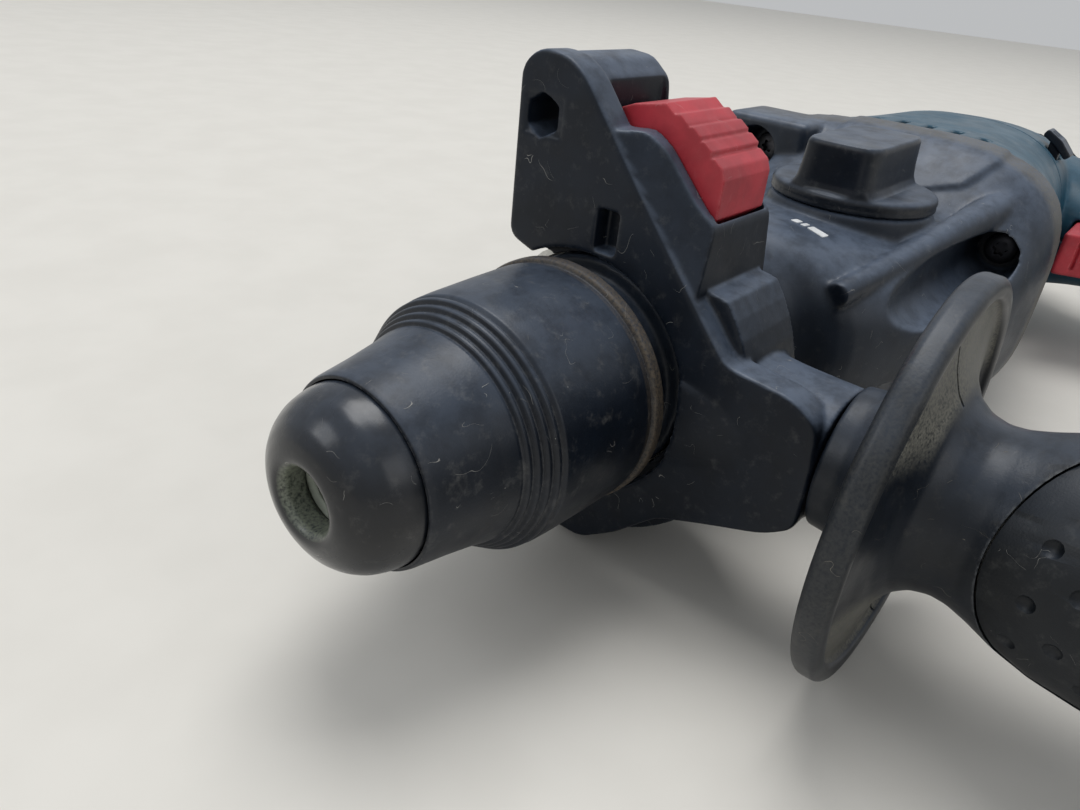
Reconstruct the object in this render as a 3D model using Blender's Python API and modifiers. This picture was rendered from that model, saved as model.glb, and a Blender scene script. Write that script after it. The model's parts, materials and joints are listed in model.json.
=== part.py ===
"""Rotary hammer with an SDS-plus chuck, an in-line motor and a clamped side handle, lying on its right side.

Tool axes: x runs forwards along the spindle, y runs from the spindle towards the pistol grip, and z points
out of the tool's left side, which carries the mode knob. x = 0 is the rear rim of the locking sleeve.
Sizes are in millimetres inside the shape functions, which build every mesh in metres.
"""
import math

import bpy
import bmesh
from mathutils import Matrix, Vector

MM = 0.001
GAP = 0.3                       # clearance between touching pieces

# Overall size
NOSE_X = 62.5                   # tip of the dust cap
REAR_X = -314.3                 # back of the grip's rubber
TOP_Y = -40.0                   # top of the gear housing's flange
HANDLE_END_Y = 185.0            # free end of the side handle
HALF_WIDTH = 40.0               # half the width of the gear housing's flange

# Axes of the moving pieces
MOTOR_Y = 5.0                   # armature
COUNTER_Y = 26.0                # intermediate shaft
KNOB_X, KNOB_Y = -100.0, 16.0   # mode knob
WOBBLE_X = -96.0                # centre of the wobble drive
HANDLE_X = -17.0                # side handle

# Joint lines between the housings
NECK_FRONT_X = -8.0
NECK_REAR_X = -46.0
FLANGE_X = -150.0
BODY_REAR_X = -232.0
NECK_R = 24.0

# Chuck
SLEEVE_R = 25.5
SLEEVE_STEPS = 4                # small steps between the sleeve's drum and its cone
TOOL_BORE_R = 5.3
HAMMER_BORE_R = 11.0
TUBE_R = 15.0
HOLDER_R = 14.0

# Gears: teeth and module of each pair
SPINDLE_TEETH, PINION_TEETH, SPINDLE_MODULE = 30, 10, 1.3
COUNTER_TEETH, MOTOR_TEETH, MOTOR_MODULE = 42, 8, 0.84

# Housing screws: (y, z) of the two on the left side; the right side mirrors them
UPPER_SCREW = (-26.0, 28.0)
LOWER_SCREW = (49.0, 15.0)
HANDLE_SCREWS = ((-262.0, -17.0), (-262.0, 147.0), (-256.0, 104.0))

# Outer sections of the housings: (x, centre y, half height, half width, exponent)
GEAR_SECTIONS = (
    (-46.0, 0.0, NECK_R, NECK_R, 2.0),
    (-52.0, 1.5, 27.0, 25.0, 2.05),
    (-60.0, 5.0, 34.0, 25.5, 2.1),
    (-80.0, 9.0, 42.0, 24.5, 2.3),
    (-100.0, 10.5, 46.0, 24.0, 2.5),
    (-117.0, 11.0, 48.5, 26.0, 2.7),
    (-129.0, 11.0, 50.0, 33.0, 3.0),
    (-139.0, 11.0, 51.0, 38.7, 3.4),
    (FLANGE_X, 11.0, 51.0, HALF_WIDTH, 3.6),
)
MOTOR_SECTIONS = (
    (FLANGE_X - GAP, 11.0, 50.0, 39.3, 3.5),
    (-165.0, 10.5, 48.0, 38.8, 3.1),
    (-190.0, 9.5, 44.5, 38.0, 2.8),
    (BODY_REAR_X, 8.0, 42.0, 37.0, 2.6),
)
REAR_SECTIONS = (
    (BODY_REAR_X - GAP, 8.0, 42.0, 37.0, 2.6),
    (-260.0, 10.0, 40.0, 34.0, 2.5),
    (-285.0, 14.0, 36.0, 29.0, 2.4),
    (-303.0, 17.0, 29.0, 22.0, 2.3),
    (-309.5, 19.0, 21.0, 15.0, 2.2),
    (-312.3, 20.0, 12.0, 8.0, 2.0),
)
# Grip sections: (y, centre x, half depth, half width, exponent)
GRIP_SECTIONS = (
    (30.0, -270.0, 32.0, 27.0, 2.4),
    (46.0, -267.0, 30.5, 24.0, 2.4),
    (60.0, -262.5, 27.5, 20.0, 2.4),
    (80.0, -259.0, 23.0, 17.5, 2.4),
    (110.0, -259.0, 21.5, 16.5, 2.4),
    (140.0, -262.0, 23.5, 17.5, 2.5),
    (152.0, -264.0, 27.0, 19.5, 2.6),
    (158.0, -265.0, 27.5, 20.0, 2.6),
    (160.0, -265.0, 25.0, 18.0, 2.6),
)
# Side handle's clamp, seen along the spindle: (y, z) of its front plate, its button box, the button and its pocket
COLLAR_OUTLINE = ((-19.7, 24.5), (-19.7, 57.5), (-15.5, 61.0), (-9.0, 60.4), (-4.8, 57.5), (10.2, 39.8),
                  (25.6, 22.6), (33.0, 14.6), (46.5, 13.4), (52.0, 10.0), (53.0, 0.0), (53.0, -11.0),
                  (47.5, -15.0), (35.4, -19.5), (25.6, -23.5), (16.5, -32.5), (8.0, -38.6), (-2.0, -38.6),
                  (-6.0, -20.0), (-6.0, 20.0))
BOX_OUTLINE = ((-19.7, 24.5), (-19.7, 56.5), (-15.5, 60.0), (-9.0, 59.4), (-4.4, 56.0), (-3.6, 48.6),
               (7.0, 49.6), (14.6, 43.4), (23.4, 35.9), (25.4, 19.0), (10.0, 22.0), (-6.0, 24.5))
BUTTON_OUTLINE = ((-2.6, 40.5), (-2.6, 52.4), (6.4, 54.2), (13.8, 50.0), (20.8, 45.0), (21.6, 36.7), (15.0, 31.0),
                  (6.0, 33.5))
ROD_HOLE = (-13.9, 49.0)        # hexagonal hole for a depth rod
POCKET_OUTLINE = ((-5.0, 36.0), (-5.0, 70.0), (22.1, 70.0), (22.1, 35.5), (15.0, 27.6), (2.0, 30.2))
WALL = 2.8
FAN_BLADES = 9
VENT_SLOTS = 4
SIDES = ((1, "left"), (-1, "right"))

COLOURS = {
    "charcoal": ((0.045, 0.049, 0.056), 0.62, 0.0),
    "teal": ((0.020, 0.115, 0.150), 0.50, 0.0),
    "black_rubber": ((0.020, 0.021, 0.023), 0.75, 0.0),
    "gloss_black": ((0.012, 0.013, 0.016), 0.28, 0.0),
    "red": ((0.52, 0.035, 0.035), 0.45, 0.0),
    "steel": ((0.60, 0.60, 0.58), 0.30, 1.0),
    "dark_steel": ((0.22, 0.22, 0.23), 0.38, 1.0),
    "copper": ((0.72, 0.33, 0.16), 0.35, 1.0),
    "brass": ((0.72, 0.52, 0.22), 0.32, 1.0),
    "aluminium": ((0.66, 0.67, 0.68), 0.42, 1.0),
    "graphite": ((0.05, 0.05, 0.05), 0.60, 0.2),
    "ivory": ((0.62, 0.58, 0.48), 0.55, 0.0),
}


# ---------------------------------------------------------------- scene

def clear_scene():
    """Remove every object of the open file."""
    for thing in list(bpy.data.objects):
        bpy.data.objects.remove(thing, do_unlink=True)


def new_collection(name):
    group = bpy.data.collections.new(name)
    bpy.context.scene.collection.children.link(group)
    return group


def tool_frame():
    """Empty at the spindle axis; its place stands the model on z = 0 with its box centred on the origin."""
    empty = bpy.data.objects.new("tool_frame", None)
    empty.location = (
        -(NOSE_X + REAR_X) / 2 * MM,
        -(TOP_Y + HANDLE_END_Y) / 2 * MM,
        HALF_WIDTH * MM,
    )
    PARTS.objects.link(empty)
    return empty


def material(finish):
    """Principled material of one named finish."""
    found = bpy.data.materials.get(finish)
    if found:
        return found
    colour, roughness, metallic = COLOURS[finish]
    made = bpy.data.materials.new(finish)
    made.use_nodes = True
    shader = made.node_tree.nodes["Principled BSDF"]
    shader.inputs["Base Color"].default_value = (*colour, 1.0)
    shader.inputs["Roughness"].default_value = roughness
    shader.inputs["Metallic"].default_value = metallic
    made.diffuse_color = (*colour, 1.0)
    return made


def place(thing, at=(0, 0, 0), turn=(0, 0, 0)):
    """Put an object on the tool frame, at a point in millimetres and turned by angles in degrees."""
    thing.parent = FRAME
    thing.location = [value * MM for value in at]
    thing.rotation_euler = [math.radians(value) for value in turn]
    return thing


def part(thing, name, finish, sharp=35.0):
    """Make a shape one named sub-part of the tool."""
    thing.name = name
    if not thing.users_collection:
        PARTS.objects.link(thing)
    if thing.data.materials:
        thing.data.materials[0] = material(finish)
    else:
        thing.data.materials.append(material(finish))
    if thing.type == "MESH":
        thing.data.shade_smooth()
        thing.data.set_sharp_from_angle(angle=math.radians(sharp))
    return thing


def tool(thing):
    """Hide a shape that only cuts or completes another one."""
    thing.name = "cutter"
    for group in list(thing.users_collection):
        group.objects.unlink(thing)
    CUTTERS.objects.link(thing)
    thing.hide_render = True
    thing.display_type = "WIRE"
    return thing


def combine(thing, other, operation):
    modifier = thing.modifiers.new(operation.lower(), "BOOLEAN")
    modifier.operation = operation
    modifier.object = tool(other)
    return thing


def cut(thing, *others):
    for other in others:
        combine(thing, other, "DIFFERENCE")
    return thing


def join(thing, *others):
    for other in others:
        combine(thing, other, "UNION")
    return thing


def keep(thing, other):
    return combine(thing, other, "INTERSECT")


# ---------------------------------------------------------------- shapes

def mesh_object(bm):
    """Object in metres from a mesh that was built in millimetres."""
    bmesh.ops.scale(bm, vec=(MM, MM, MM), verts=bm.verts)
    mesh = bpy.data.meshes.new("shape")
    bm.to_mesh(mesh)
    bm.free()
    return bpy.data.objects.new("shape", mesh)


TURNS = {"x": (0, 90, 0), "y": (-90, 0, 0), "z": (0, 0, 0)}


def turned(profile, at=(0, 0, 0), axis="x", segments=20, closed=True):
    """Turned shape: (distance along the axis, radius) pairs, from the far end down the outside and back."""
    bm = bmesh.new()
    points = [bm.verts.new((radius, 0, along)) for along, radius in profile]
    for first, second in zip(points, points[1:]):
        bm.edges.new((first, second))
    if closed:
        bm.edges.new((points[-1], points[0]))
    thing = mesh_object(bm)
    screw = thing.modifiers.new("turn", "SCREW")
    screw.steps = segments
    screw.render_steps = segments
    screw.use_merge_vertices = True
    screw.merge_threshold = 0.00001
    return place(thing, at, TURNS[axis])


def rod(radius, low, high, at=(0, 0, 0), axis="x", segments=16):
    """Solid cylinder between two stations of an axis."""
    profile = [(high, 0.0), (high, radius), (low, radius), (low, 0.0)]
    return turned(profile, at, axis, segments, closed=False)


def ring(outer, inner, low, high, at=(0, 0, 0), axis="x", segments=18):
    """Plain ring between two stations of an axis."""
    return turned([(high, outer), (low, outer), (low, inner), (high, inner)], at, axis, segments)


def block(low, high, bevel=0.0):
    """Box between two corners, with rounded edges if a bevel is given."""
    bm = bmesh.new()
    bmesh.ops.create_cube(bm, size=1.0)
    size = [b - a for a, b in zip(low, high)]
    bmesh.ops.scale(bm, vec=size, verts=bm.verts)
    thing = mesh_object(bm)
    if bevel:
        edge = thing.modifiers.new("edge", "BEVEL")
        edge.width = bevel * MM
        edge.segments = 2
    return place(thing, [(a + b) / 2 for a, b in zip(low, high)])


def flat(outline, low, high, at=(0, 0, 0), axis="z"):
    """Solid of a flat outline between two stations of the axis that the outline faces."""
    curve = bpy.data.curves.new("outline", "CURVE")
    curve.dimensions = "2D"
    curve.fill_mode = "BOTH"
    curve.extrude = (high - low) / 2 * MM
    spline = curve.splines.new("POLY")
    spline.points.add(len(outline) - 1)
    for point, (u, v) in zip(spline.points, outline):
        point.co = (u * MM, v * MM, 0, 1)
    spline.use_cyclic_u = True
    drawn = bpy.data.objects.new("outline", curve)
    PARTS.objects.link(drawn)
    bpy.context.view_layer.update()
    mesh = bpy.data.meshes.new_from_object(drawn.evaluated_get(bpy.context.evaluated_depsgraph_get()))
    bpy.data.objects.remove(drawn)
    bm = bmesh.new()
    bm.from_mesh(mesh)
    bmesh.ops.remove_doubles(bm, verts=bm.verts, dist=0.000001)
    bmesh.ops.translate(bm, vec=(0, 0, (high + low) / 2 * MM), verts=bm.verts)
    if axis == "x":
        bmesh.ops.transform(bm, matrix=Matrix(((0, 0, 1, 0), (1, 0, 0, 0), (0, 1, 0, 0), (0, 0, 0, 1))),
                            verts=bm.verts)
    bmesh.ops.recalc_face_normals(bm, faces=bm.faces)
    bm.to_mesh(mesh)
    bm.free()
    return place(bpy.data.objects.new("shape", mesh), at)


def oval_point(angle, half_a, half_b, power):
    """Point of a superellipse, which is rounder or squarer as its power falls or rises."""
    a = half_a * math.copysign(abs(math.cos(angle)) ** (2 / power), math.cos(angle))
    b = half_b * math.copysign(abs(math.sin(angle)) ** (2 / power), math.sin(angle))
    return a, b


def loft(sections, along="x", grow=0.0, sides=28):
    """Closed solid through oval sections that stand across the x or the y axis."""
    bm = bmesh.new()
    rings = []
    for station, centre, half_a, half_b, power in sections:
        points = []
        for step in range(sides):
            a, b = oval_point(math.tau * step / sides, half_a + grow, half_b + grow, power)
            place_at = (station, centre + a, b) if along == "x" else (centre + a, station, b)
            points.append(bm.verts.new(place_at))
        rings.append(points)
    for first, second in zip(rings, rings[1:]):
        for step in range(sides):
            following = (step + 1) % sides
            bm.faces.new((first[step], first[following], second[following], second[step]))
    bm.faces.new(rings[0])
    bm.faces.new(rings[-1])
    bmesh.ops.recalc_face_normals(bm, faces=bm.faces)
    return place(mesh_object(bm))


def rounded(points, radius, steps=4):
    """Outline with its corners rounded off by arcs."""
    out = []
    count = len(points)
    for index, corner in enumerate(points):
        here = Vector(corner)
        back = (Vector(points[index - 1]) - here)
        ahead = (Vector(points[(index + 1) % count]) - here)
        reach = min(radius, back.length / 2.2, ahead.length / 2.2)
        start = here + back.normalized() * reach
        end = here + ahead.normalized() * reach
        for step in range(steps + 1):
            t = step / steps
            spot = start * (1 - t) ** 2 + here * 2 * t * (1 - t) + end * t ** 2
            out.append((spot.x, spot.y))
    return out


def hexagon(radius):
    """Outline of a hexagon with a corner on its second axis."""
    angles = [math.radians(90 + 60 * corner) for corner in range(6)]
    return [(radius * math.cos(angle), radius * math.sin(angle)) for angle in angles]


def gear_outline(teeth, module, phase=0.0):
    """Outline of a spur gear with straight-sided teeth and some backlash."""
    pitch = teeth * module / 2
    tip, root = pitch + 0.80 * module, pitch - 1.12 * module
    step = math.tau / teeth
    marks = ((-0.32, root), (-0.10, tip), (0.10, tip), (0.32, root))
    outline = []
    for tooth in range(teeth):
        for share, radius in marks:
            angle = step * (tooth + share) + phase
            outline.append((radius * math.cos(angle), radius * math.sin(angle)))
    return outline


def coil(radius, wire, low, high, turns, at=(0, 0, 0), axis="x", per_turn=9):
    """Compression spring of round wire."""
    curve = bpy.data.curves.new("coil", "CURVE")
    curve.dimensions = "3D"
    curve.bevel_depth = wire / 2 * MM
    curve.bevel_resolution = 0
    curve.use_fill_caps = True
    spline = curve.splines.new("POLY")
    count = int(turns * per_turn)
    spline.points.add(count)
    for index, point in enumerate(spline.points):
        angle = math.tau * index / per_turn
        along = low + (high - low) * index / count
        point.co = (radius * math.cos(angle) * MM, radius * math.sin(angle) * MM, along * MM, 1)
    return place(bpy.data.objects.new("coil", curve), at, TURNS[axis])


def mirrored_block(low, high, near, far, side):
    """Box between two (x, y) corners, from near to far out on one side of the tool's middle."""
    bottom, top = sorted((near * side, far * side))
    return block((*low, bottom), (*high, top))


def four_corners():
    """The (y, z) places of the four housing screws."""
    for y, z in (UPPER_SCREW, LOWER_SCREW):
        yield y, z
        yield y, -z


# ---------------------------------------------------------------- chuck

def build_chuck():
    cap = [(NOSE_X, 8.2), (61.8, 10.0), (60.6, 12.0), (58.6, 13.9), (56.0, 15.2), (53.2, 15.9), (50.3, 16.0),
           (50.3, 9.3), (57.4, 9.3), (57.4, 5.4), (61.2, 5.4), (NOSE_X, 6.2)]
    part(turned(cap, segments=24), "dust_cap", "gloss_black")

    ribs = []
    for step in range(SLEEVE_STEPS):
        x = 28.9 + 5.3 * step / SLEEVE_STEPS
        radius = 24.0 - 3.5 * step / SLEEVE_STEPS
        ribs += [(x, radius), (x + 0.15, radius - 0.75)]
    outside = [(51.6, 16.9), (45.0, 18.2), (34.6, 20.4)]
    outside += [(x, radius) for x, radius in reversed(ribs)]
    outside += [(15.0, 24.5), (3.4, 25.0), (2.4, SLEEVE_R), (0.4, SLEEVE_R), (0.0, 25.1)]
    inside = [(0.0, 21.8), (22.0, 21.8), (22.0, 14.4), (34.5, 14.4), (36.0, 16.4), (51.6, 16.4)]
    part(turned(outside + inside, segments=28), "locking_sleeve", "charcoal", sharp=30)

    holder = [(57.0, 9.0), (50.0, 9.0), (50.0, 12.0), (35.5, 12.0), (34.0, HOLDER_R), (-10.0, HOLDER_R),
              (-10.0, TUBE_R), (-78.0, TUBE_R), (-78.0, HAMMER_BORE_R), (6.0, HAMMER_BORE_R),
              (7.5, TOOL_BORE_R), (57.0, TOOL_BORE_R)]
    spindle = turned(holder, segments=20)
    for angle in (90, 270):
        pocket = rod(3.8, 5.0, 20.0, at=(29.0, 0, 0), axis="z", segments=12)
        pocket.rotation_euler = (math.radians(angle), 0, 0)
        cut(spindle, pocket)
    part(spindle, "hammer_tube", "steel")

    for side, name in SIDES:
        part(ball_at((29.0, side * 10.4, 0), 3.4), f"locking_ball_{name}", "steel", sharp=60)
    part(coil(17.3, 1.8, 4.6, 20.6, 4), "sleeve_spring", "steel")
    part(ring(17.2, 14.3, -8.7, -3.6, segments=20), "spindle_seal", "black_rubber")
    part(ring(19.2, 15.3, -32.0, -16.0, segments=20), "spindle_bearing", "dark_steel")


def ball_at(centre, radius):
    bm = bmesh.new()
    bmesh.ops.create_uvsphere(bm, u_segments=10, v_segments=8, radius=radius)
    return place(mesh_object(bm), centre)


# ---------------------------------------------------------------- drive

def build_drive():
    wheel = flat(gear_outline(SPINDLE_TEETH, SPINDLE_MODULE), -75.0, -65.0, axis="x")
    cut(wheel, rod(15.3, -76.0, -64.0, segments=20))
    part(wheel, "spindle_gear", "steel")

    at = (0, COUNTER_Y, 0)
    mesh_angle = math.pi + math.pi / PINION_TEETH
    pinion = flat(gear_outline(PINION_TEETH, SPINDLE_MODULE, mesh_angle), -75.5, -64.5, at, axis="x")
    part(join(pinion, rod(4.5, -136.0, -57.0, at)), "intermediate_shaft", "steel")
    part(ring(7.9, 4.8, -62.0, -56.8, at), "intermediate_bush", "brass")
    hub = rod(9.0, -101.0, -91.0, at, segments=16)
    part(cut(keep(hub, ball_at((WOBBLE_X, COUNTER_Y, 0), 10.0)), rod(4.8, -110.0, -80.0, at)),
         "wobble_hub", "steel")
    wheel = flat(gear_outline(COUNTER_TEETH, MOTOR_MODULE), -125.0, -118.0, at, axis="x")
    part(cut(wheel, rod(4.8, -130.0, -110.0, at)), "intermediate_gear", "steel")
    part(ring(8.0, 4.8, -133.6, -128.4, at), "intermediate_bearing", "dark_steel")

    band = ring(15.0, 11.3, -3.5, 3.5, at=(WOBBLE_X, COUNTER_Y, 0), segments=18)
    finger = rod(2.5, -27.0, -13.2, at=(WOBBLE_X, COUNTER_Y, 0), axis="y", segments=10)
    part(join(band, finger), "wobble_plate", "steel")


def build_hammer():
    piston = turned([(-62.0, 0.0), (-62.0, 10.6), (-66.0, 10.6), (-66.0, 9.4), (-69.0, 9.4), (-69.0, 10.6),
                     (-104.0, 10.6), (-104.0, 0.0)], segments=18, closed=False)
    part(cut(piston, block((-102.4, -7.0, -3.3), (-89.6, 20.0, 3.3))), "piston", "steel")
    part(ring(10.8, 9.6, -68.6, -66.4), "piston_seal", "black_rubber")
    part(turned([(-26.0, 0.0), (-26.0, 7.0), (-29.0, 10.6), (-36.0, 10.6), (-36.0, 9.4), (-39.0, 9.4),
                 (-39.0, 10.6), (-46.0, 10.6), (-46.0, 0.0)], segments=18, closed=False), "striker", "steel")
    part(turned([(12.0, 0.0), (12.0, 4.8), (-5.0, 4.8), (-7.0, 10.6), (-18.0, 10.6), (-22.0, 6.5),
                 (-22.0, 0.0)], segments=18, closed=False), "impact_bolt", "steel")


def build_motor():
    at = (0, MOTOR_Y, 0)
    pinion = gear_outline(MOTOR_TEETH, MOTOR_MODULE, math.pi / MOTOR_TEETH)
    pinion = flat(pinion, -127.8, -116.5, at, axis="x")
    part(join(pinion, rod(4.0, -262.0, -127.4, at)), "armature_shaft", "steel")
    part(ring(11.0, 4.3, -133.6, -128.4, at), "armature_bearing_front", "dark_steel")
    part(ring(9.5, 4.3, -259.0, -252.0, at), "armature_bearing_rear", "dark_steel")
    part(ring(20.0, 8.3, -213.0, -167.0, at, segments=20), "armature_core", "dark_steel")
    windings = [(-158.0, 14.0), (-166.7, 18.0), (-166.7, 8.0), (-213.3, 8.0), (-213.3, 18.0), (-221.5, 14.0),
                (-221.5, 4.3), (-158.0, 4.3)]
    part(turned(windings, at), "armature_winding", "copper")
    part(ring(11.0, 4.3, -240.0, -224.0, at), "commutator", "copper")

    fan = turned([(-150.0, 29.0), (-151.6, 29.0), (-151.6, 4.3), (-141.0, 4.3), (-141.0, 8.0),
                  (-150.0, 9.5)], at, segments=24)
    for blade in range(FAN_BLADES):
        fin = block((-150.8, -0.8, 8.0), (-143.0, 0.8, 28.2))
        fin.data.transform(Matrix.Translation(fin.location))
        join(fan, place(fin, at, (6 + 360 * blade / FAN_BLADES, 0, 0)))
    part(fan, "cooling_fan", "ivory")

    part(ring(33.5, 25.3, -214.0, -166.0, at, segments=24), "stator_core", "dark_steel")
    coils = [(-159.0, 29.0), (-165.7, 31.0), (-165.7, 24.7), (-214.3, 24.7), (-214.3, 31.0), (-221.0, 29.0),
             (-221.0, 21.0), (-159.0, 21.0)]
    part(turned(coils, at, segments=24), "field_winding", "copper")

    carrier = turned([(-244.3, 30.0), (-247.5, 30.0), (-247.5, 13.0), (-261.0, 13.0), (-261.0, 9.8),
                      (-250.0, 9.8), (-250.0, 5.0), (-244.3, 5.0)], at, segments=20)
    for side, name in SIDES:
        join(carrier, mirrored_block((-245.5, -1.2), (-226.0, 11.2), 14.0, 29.8, side))
        cut(carrier, mirrored_block((-236.0, 0.1), (-228.0, 9.9), 9.0, 27.6, side))
    part(carrier, "brush_carrier", "charcoal")

    for side, name in SIDES:
        part(mirrored_block((-235.6, 0.5), (-228.4, 9.5), 11.4, 22.0, side), f"carbon_brush_{name}", "graphite")
        spring = coil(2.8, 0.9, 22.8 * side, 26.9 * side, 3, at=(-232.0, MOTOR_Y, 0), axis="z")
        part(spring, f"brush_spring_{name}", "steel")

    plate = loft(((-134.0, 11.0, 45.8, 29.0, 3.0), (-128.0, 11.0, 45.8, 29.0, 3.0)), sides=24)
    cut(plate, rod(11.3, -140.0, -120.0, at, segments=18))
    cut(plate, rod(8.3, -140.0, -120.0, (0, COUNTER_Y, 0), segments=16))
    for y, z in four_corners():
        cut(plate, rod(9.1, -140.0, -120.0, (0, y, z), segments=14))
    part(plate, "bearing_bracket", "aluminium")


# ---------------------------------------------------------------- housings

def shrink(sections, wall, first=0.0, last=0.0):
    """Inner sections of a housing, with its first and last stations moved along the axis."""
    inner = [(x, centre, a - wall, b - wall, power) for x, centre, a, b, power in sections]
    inner[0] = (inner[0][0] + first, *inner[0][1:])
    inner[-1] = (inner[-1][0] + last, *inner[-1][1:])
    return inner


def build_gear_housing():
    neck = ((-3.0, 0.0, 20.5, 20.5, 2.0), (NECK_FRONT_X, 0.0, 20.5, 20.5, 2.0),
            (NECK_FRONT_X, 0.0, NECK_R, NECK_R, 2.0))
    housing = loft(neck + GEAR_SECTIONS)
    join(housing, rod(20.5, 14.0, 26.8, at=(KNOB_X, KNOB_Y, 0), axis="z", segments=20))

    bore = ((1.0, 0.0, 17.5, 17.5, 2.0), (-9.0, 0.0, 17.5, 17.5, 2.0), (-9.0, 0.0, 19.5, 19.5, 2.0),
            (NECK_REAR_X, 0.0, 19.5, 19.5, 2.0))
    inner = [(x, centre, a - 3.0, b - 3.0, power) for x, centre, a, b, power in GEAR_SECTIONS[1:]]
    inner[-1] = (FLANGE_X - 1.0, *inner[-1][1:])
    cavity = loft(bore + tuple(inner))
    cut(cavity, rod(10.8, -63.5, -47.0, (0, COUNTER_Y, 0), segments=16))
    join(cavity, rod(8.3, -66.0, -56.5, (0, COUNTER_Y, 0), segments=14))
    for y, z in four_corners():
        cut(cavity, rod(8.6, -160.0, -60.0, (0, y, z), segments=16))
    cut(housing, cavity)

    join(housing, block((-149.4, -4.0, -HALF_WIDTH), (-140.6, 26.0, -34.0)))
    cut(housing, rod(22.0, 26.8, 60.0, at=(KNOB_X, KNOB_Y, 0), axis="z", segments=24))
    cut(housing, rod(7.4, 10.0, 30.0, at=(KNOB_X, KNOB_Y, 0), axis="z"))
    for y, z in four_corners():
        cut(housing, rod(6.5, -140.0, -62.0, (0, y, z), segments=16))
        cut(housing, rod(2.6, -152.0, -138.0, (0, y, z), segments=10))
    part(housing, "gear_housing", "charcoal", sharp=40)

    for number, (y, z) in enumerate(four_corners(), 1):
        screw = [(-136.2, 0.0), (-136.2, 4.4), (-139.7, 4.4), (-139.7, 2.2), (-168.0, 2.2), (-168.0, 0.0)]
        part(turned(screw, (0, y, z), segments=12, closed=False), f"housing_screw_{number}", "dark_steel")


def build_mode_knob():
    base = turned([(30.8, 0.0), (30.8, 20.2), (30.0, 21.0), (27.1, 21.0), (27.1, 7.0), (20.5, 7.0), (20.5, 0.0)],
                  at=(KNOB_X, KNOB_Y, 0), axis="z", segments=24, closed=False)
    half_length = 17.0
    narrow, wide = 7.6, 9.0
    outline = rounded([(-half_length, -narrow), (half_length, -wide), (half_length, wide),
                       (-half_length, narrow)], 3.0, 3)
    handle = flat(outline, 30.0, 42.5, at=(KNOB_X, KNOB_Y, 0))
    pin = rod(2.0, 18.6, 21.5, at=(KNOB_X, KNOB_Y + 4.5, 0), axis="z", segments=8)
    part(join(base, handle, pin), "mode_knob", "gloss_black")
    part(block((-112.0, 8.0, 16.2), (-86.0, 25.0, 18.2)), "shift_plate", "dark_steel")


def build_motor_housing():
    shell = loft(MOTOR_SECTIONS)
    cavity = loft(shrink(MOTOR_SECTIONS, WALL, first=1.0, last=-1.0))
    for y, z in four_corners():
        cut(cavity, rod(5.8, -170.0, -140.0, (0, y, z), segments=14))
    cut(shell, cavity)
    for y, z in four_corners():
        cut(shell, rod(2.6, -169.0, -140.0, (0, y, z), segments=10))
    part(shell, "motor_housing", "teal", sharp=40)


def rear_body(grow):
    *sections, (last_x, *last) = REAR_SECTIONS
    body = loft([*sections, (last_x - grow, *last)], grow=grow)
    grip = loft(GRIP_SECTIONS, along="y", grow=grow)
    return join(body, grip)


def rear_cavity():
    hollow = loft(shrink(REAR_SECTIONS, WALL, first=1.0, last=WALL))
    grip = loft(shrink(GRIP_SECTIONS, WALL, last=-WALL), along="y")
    for x, y in HANDLE_SCREWS:
        cut(hollow, rod(4.6, -60.0, 60.0, at=(x, y, 0), axis="z", segments=14))
        cut(grip, rod(4.6, -60.0, 60.0, at=(x, y, 0), axis="z", segments=14))
    return join(hollow, grip)


def build_handle_shells():
    """Left and right halves of the rear housing and grip, split at the tool's middle."""
    for side, name in SIDES:
        shell = rear_body(0.0)
        cut(shell, rear_cavity())
        low, high = sorted((0.15 * side, 60.0 * side))
        keep(shell, block((-330.0, -60.0, low), (-220.0, 180.0, high)))
        cut(shell, block((-246.0, 54.6, -8.0), (-220.0, 87.8, 8.0)))
        cut(shell, rod(7.9, 150.0, 170.0, at=(-268.0, 0, 0), axis="y", segments=16))
        for x, y in HANDLE_SCREWS:
            cut(shell, rod(2.3, -8.0, 60.0, at=(x, y, 0), axis="z", segments=10))
            if side > 0:
                cut(shell, rod(4.1, 9.0, 60.0, at=(x, y, 0), axis="z", segments=14))
        if side > 0:
            cut(shell, rod(4.6, 8.0, 40.0, at=(-253.0, 76.0, 0), axis="z", segments=14))
            cut(shell, block((-254.0, 36.0, 18.0), (-237.0, 41.0, 45.0)))
        for slot in range(VENT_SLOTS):
            x = -262.0 - 6.0 * slot
            low, high = sorted((15.0 * side, 50.0 * side))
            cut(shell, block((x - 1.3, -2.0, low), (x + 1.3, 26.0, high)))
        part(shell, f"{name}_handle_shell", "teal", sharp=40)


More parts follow.
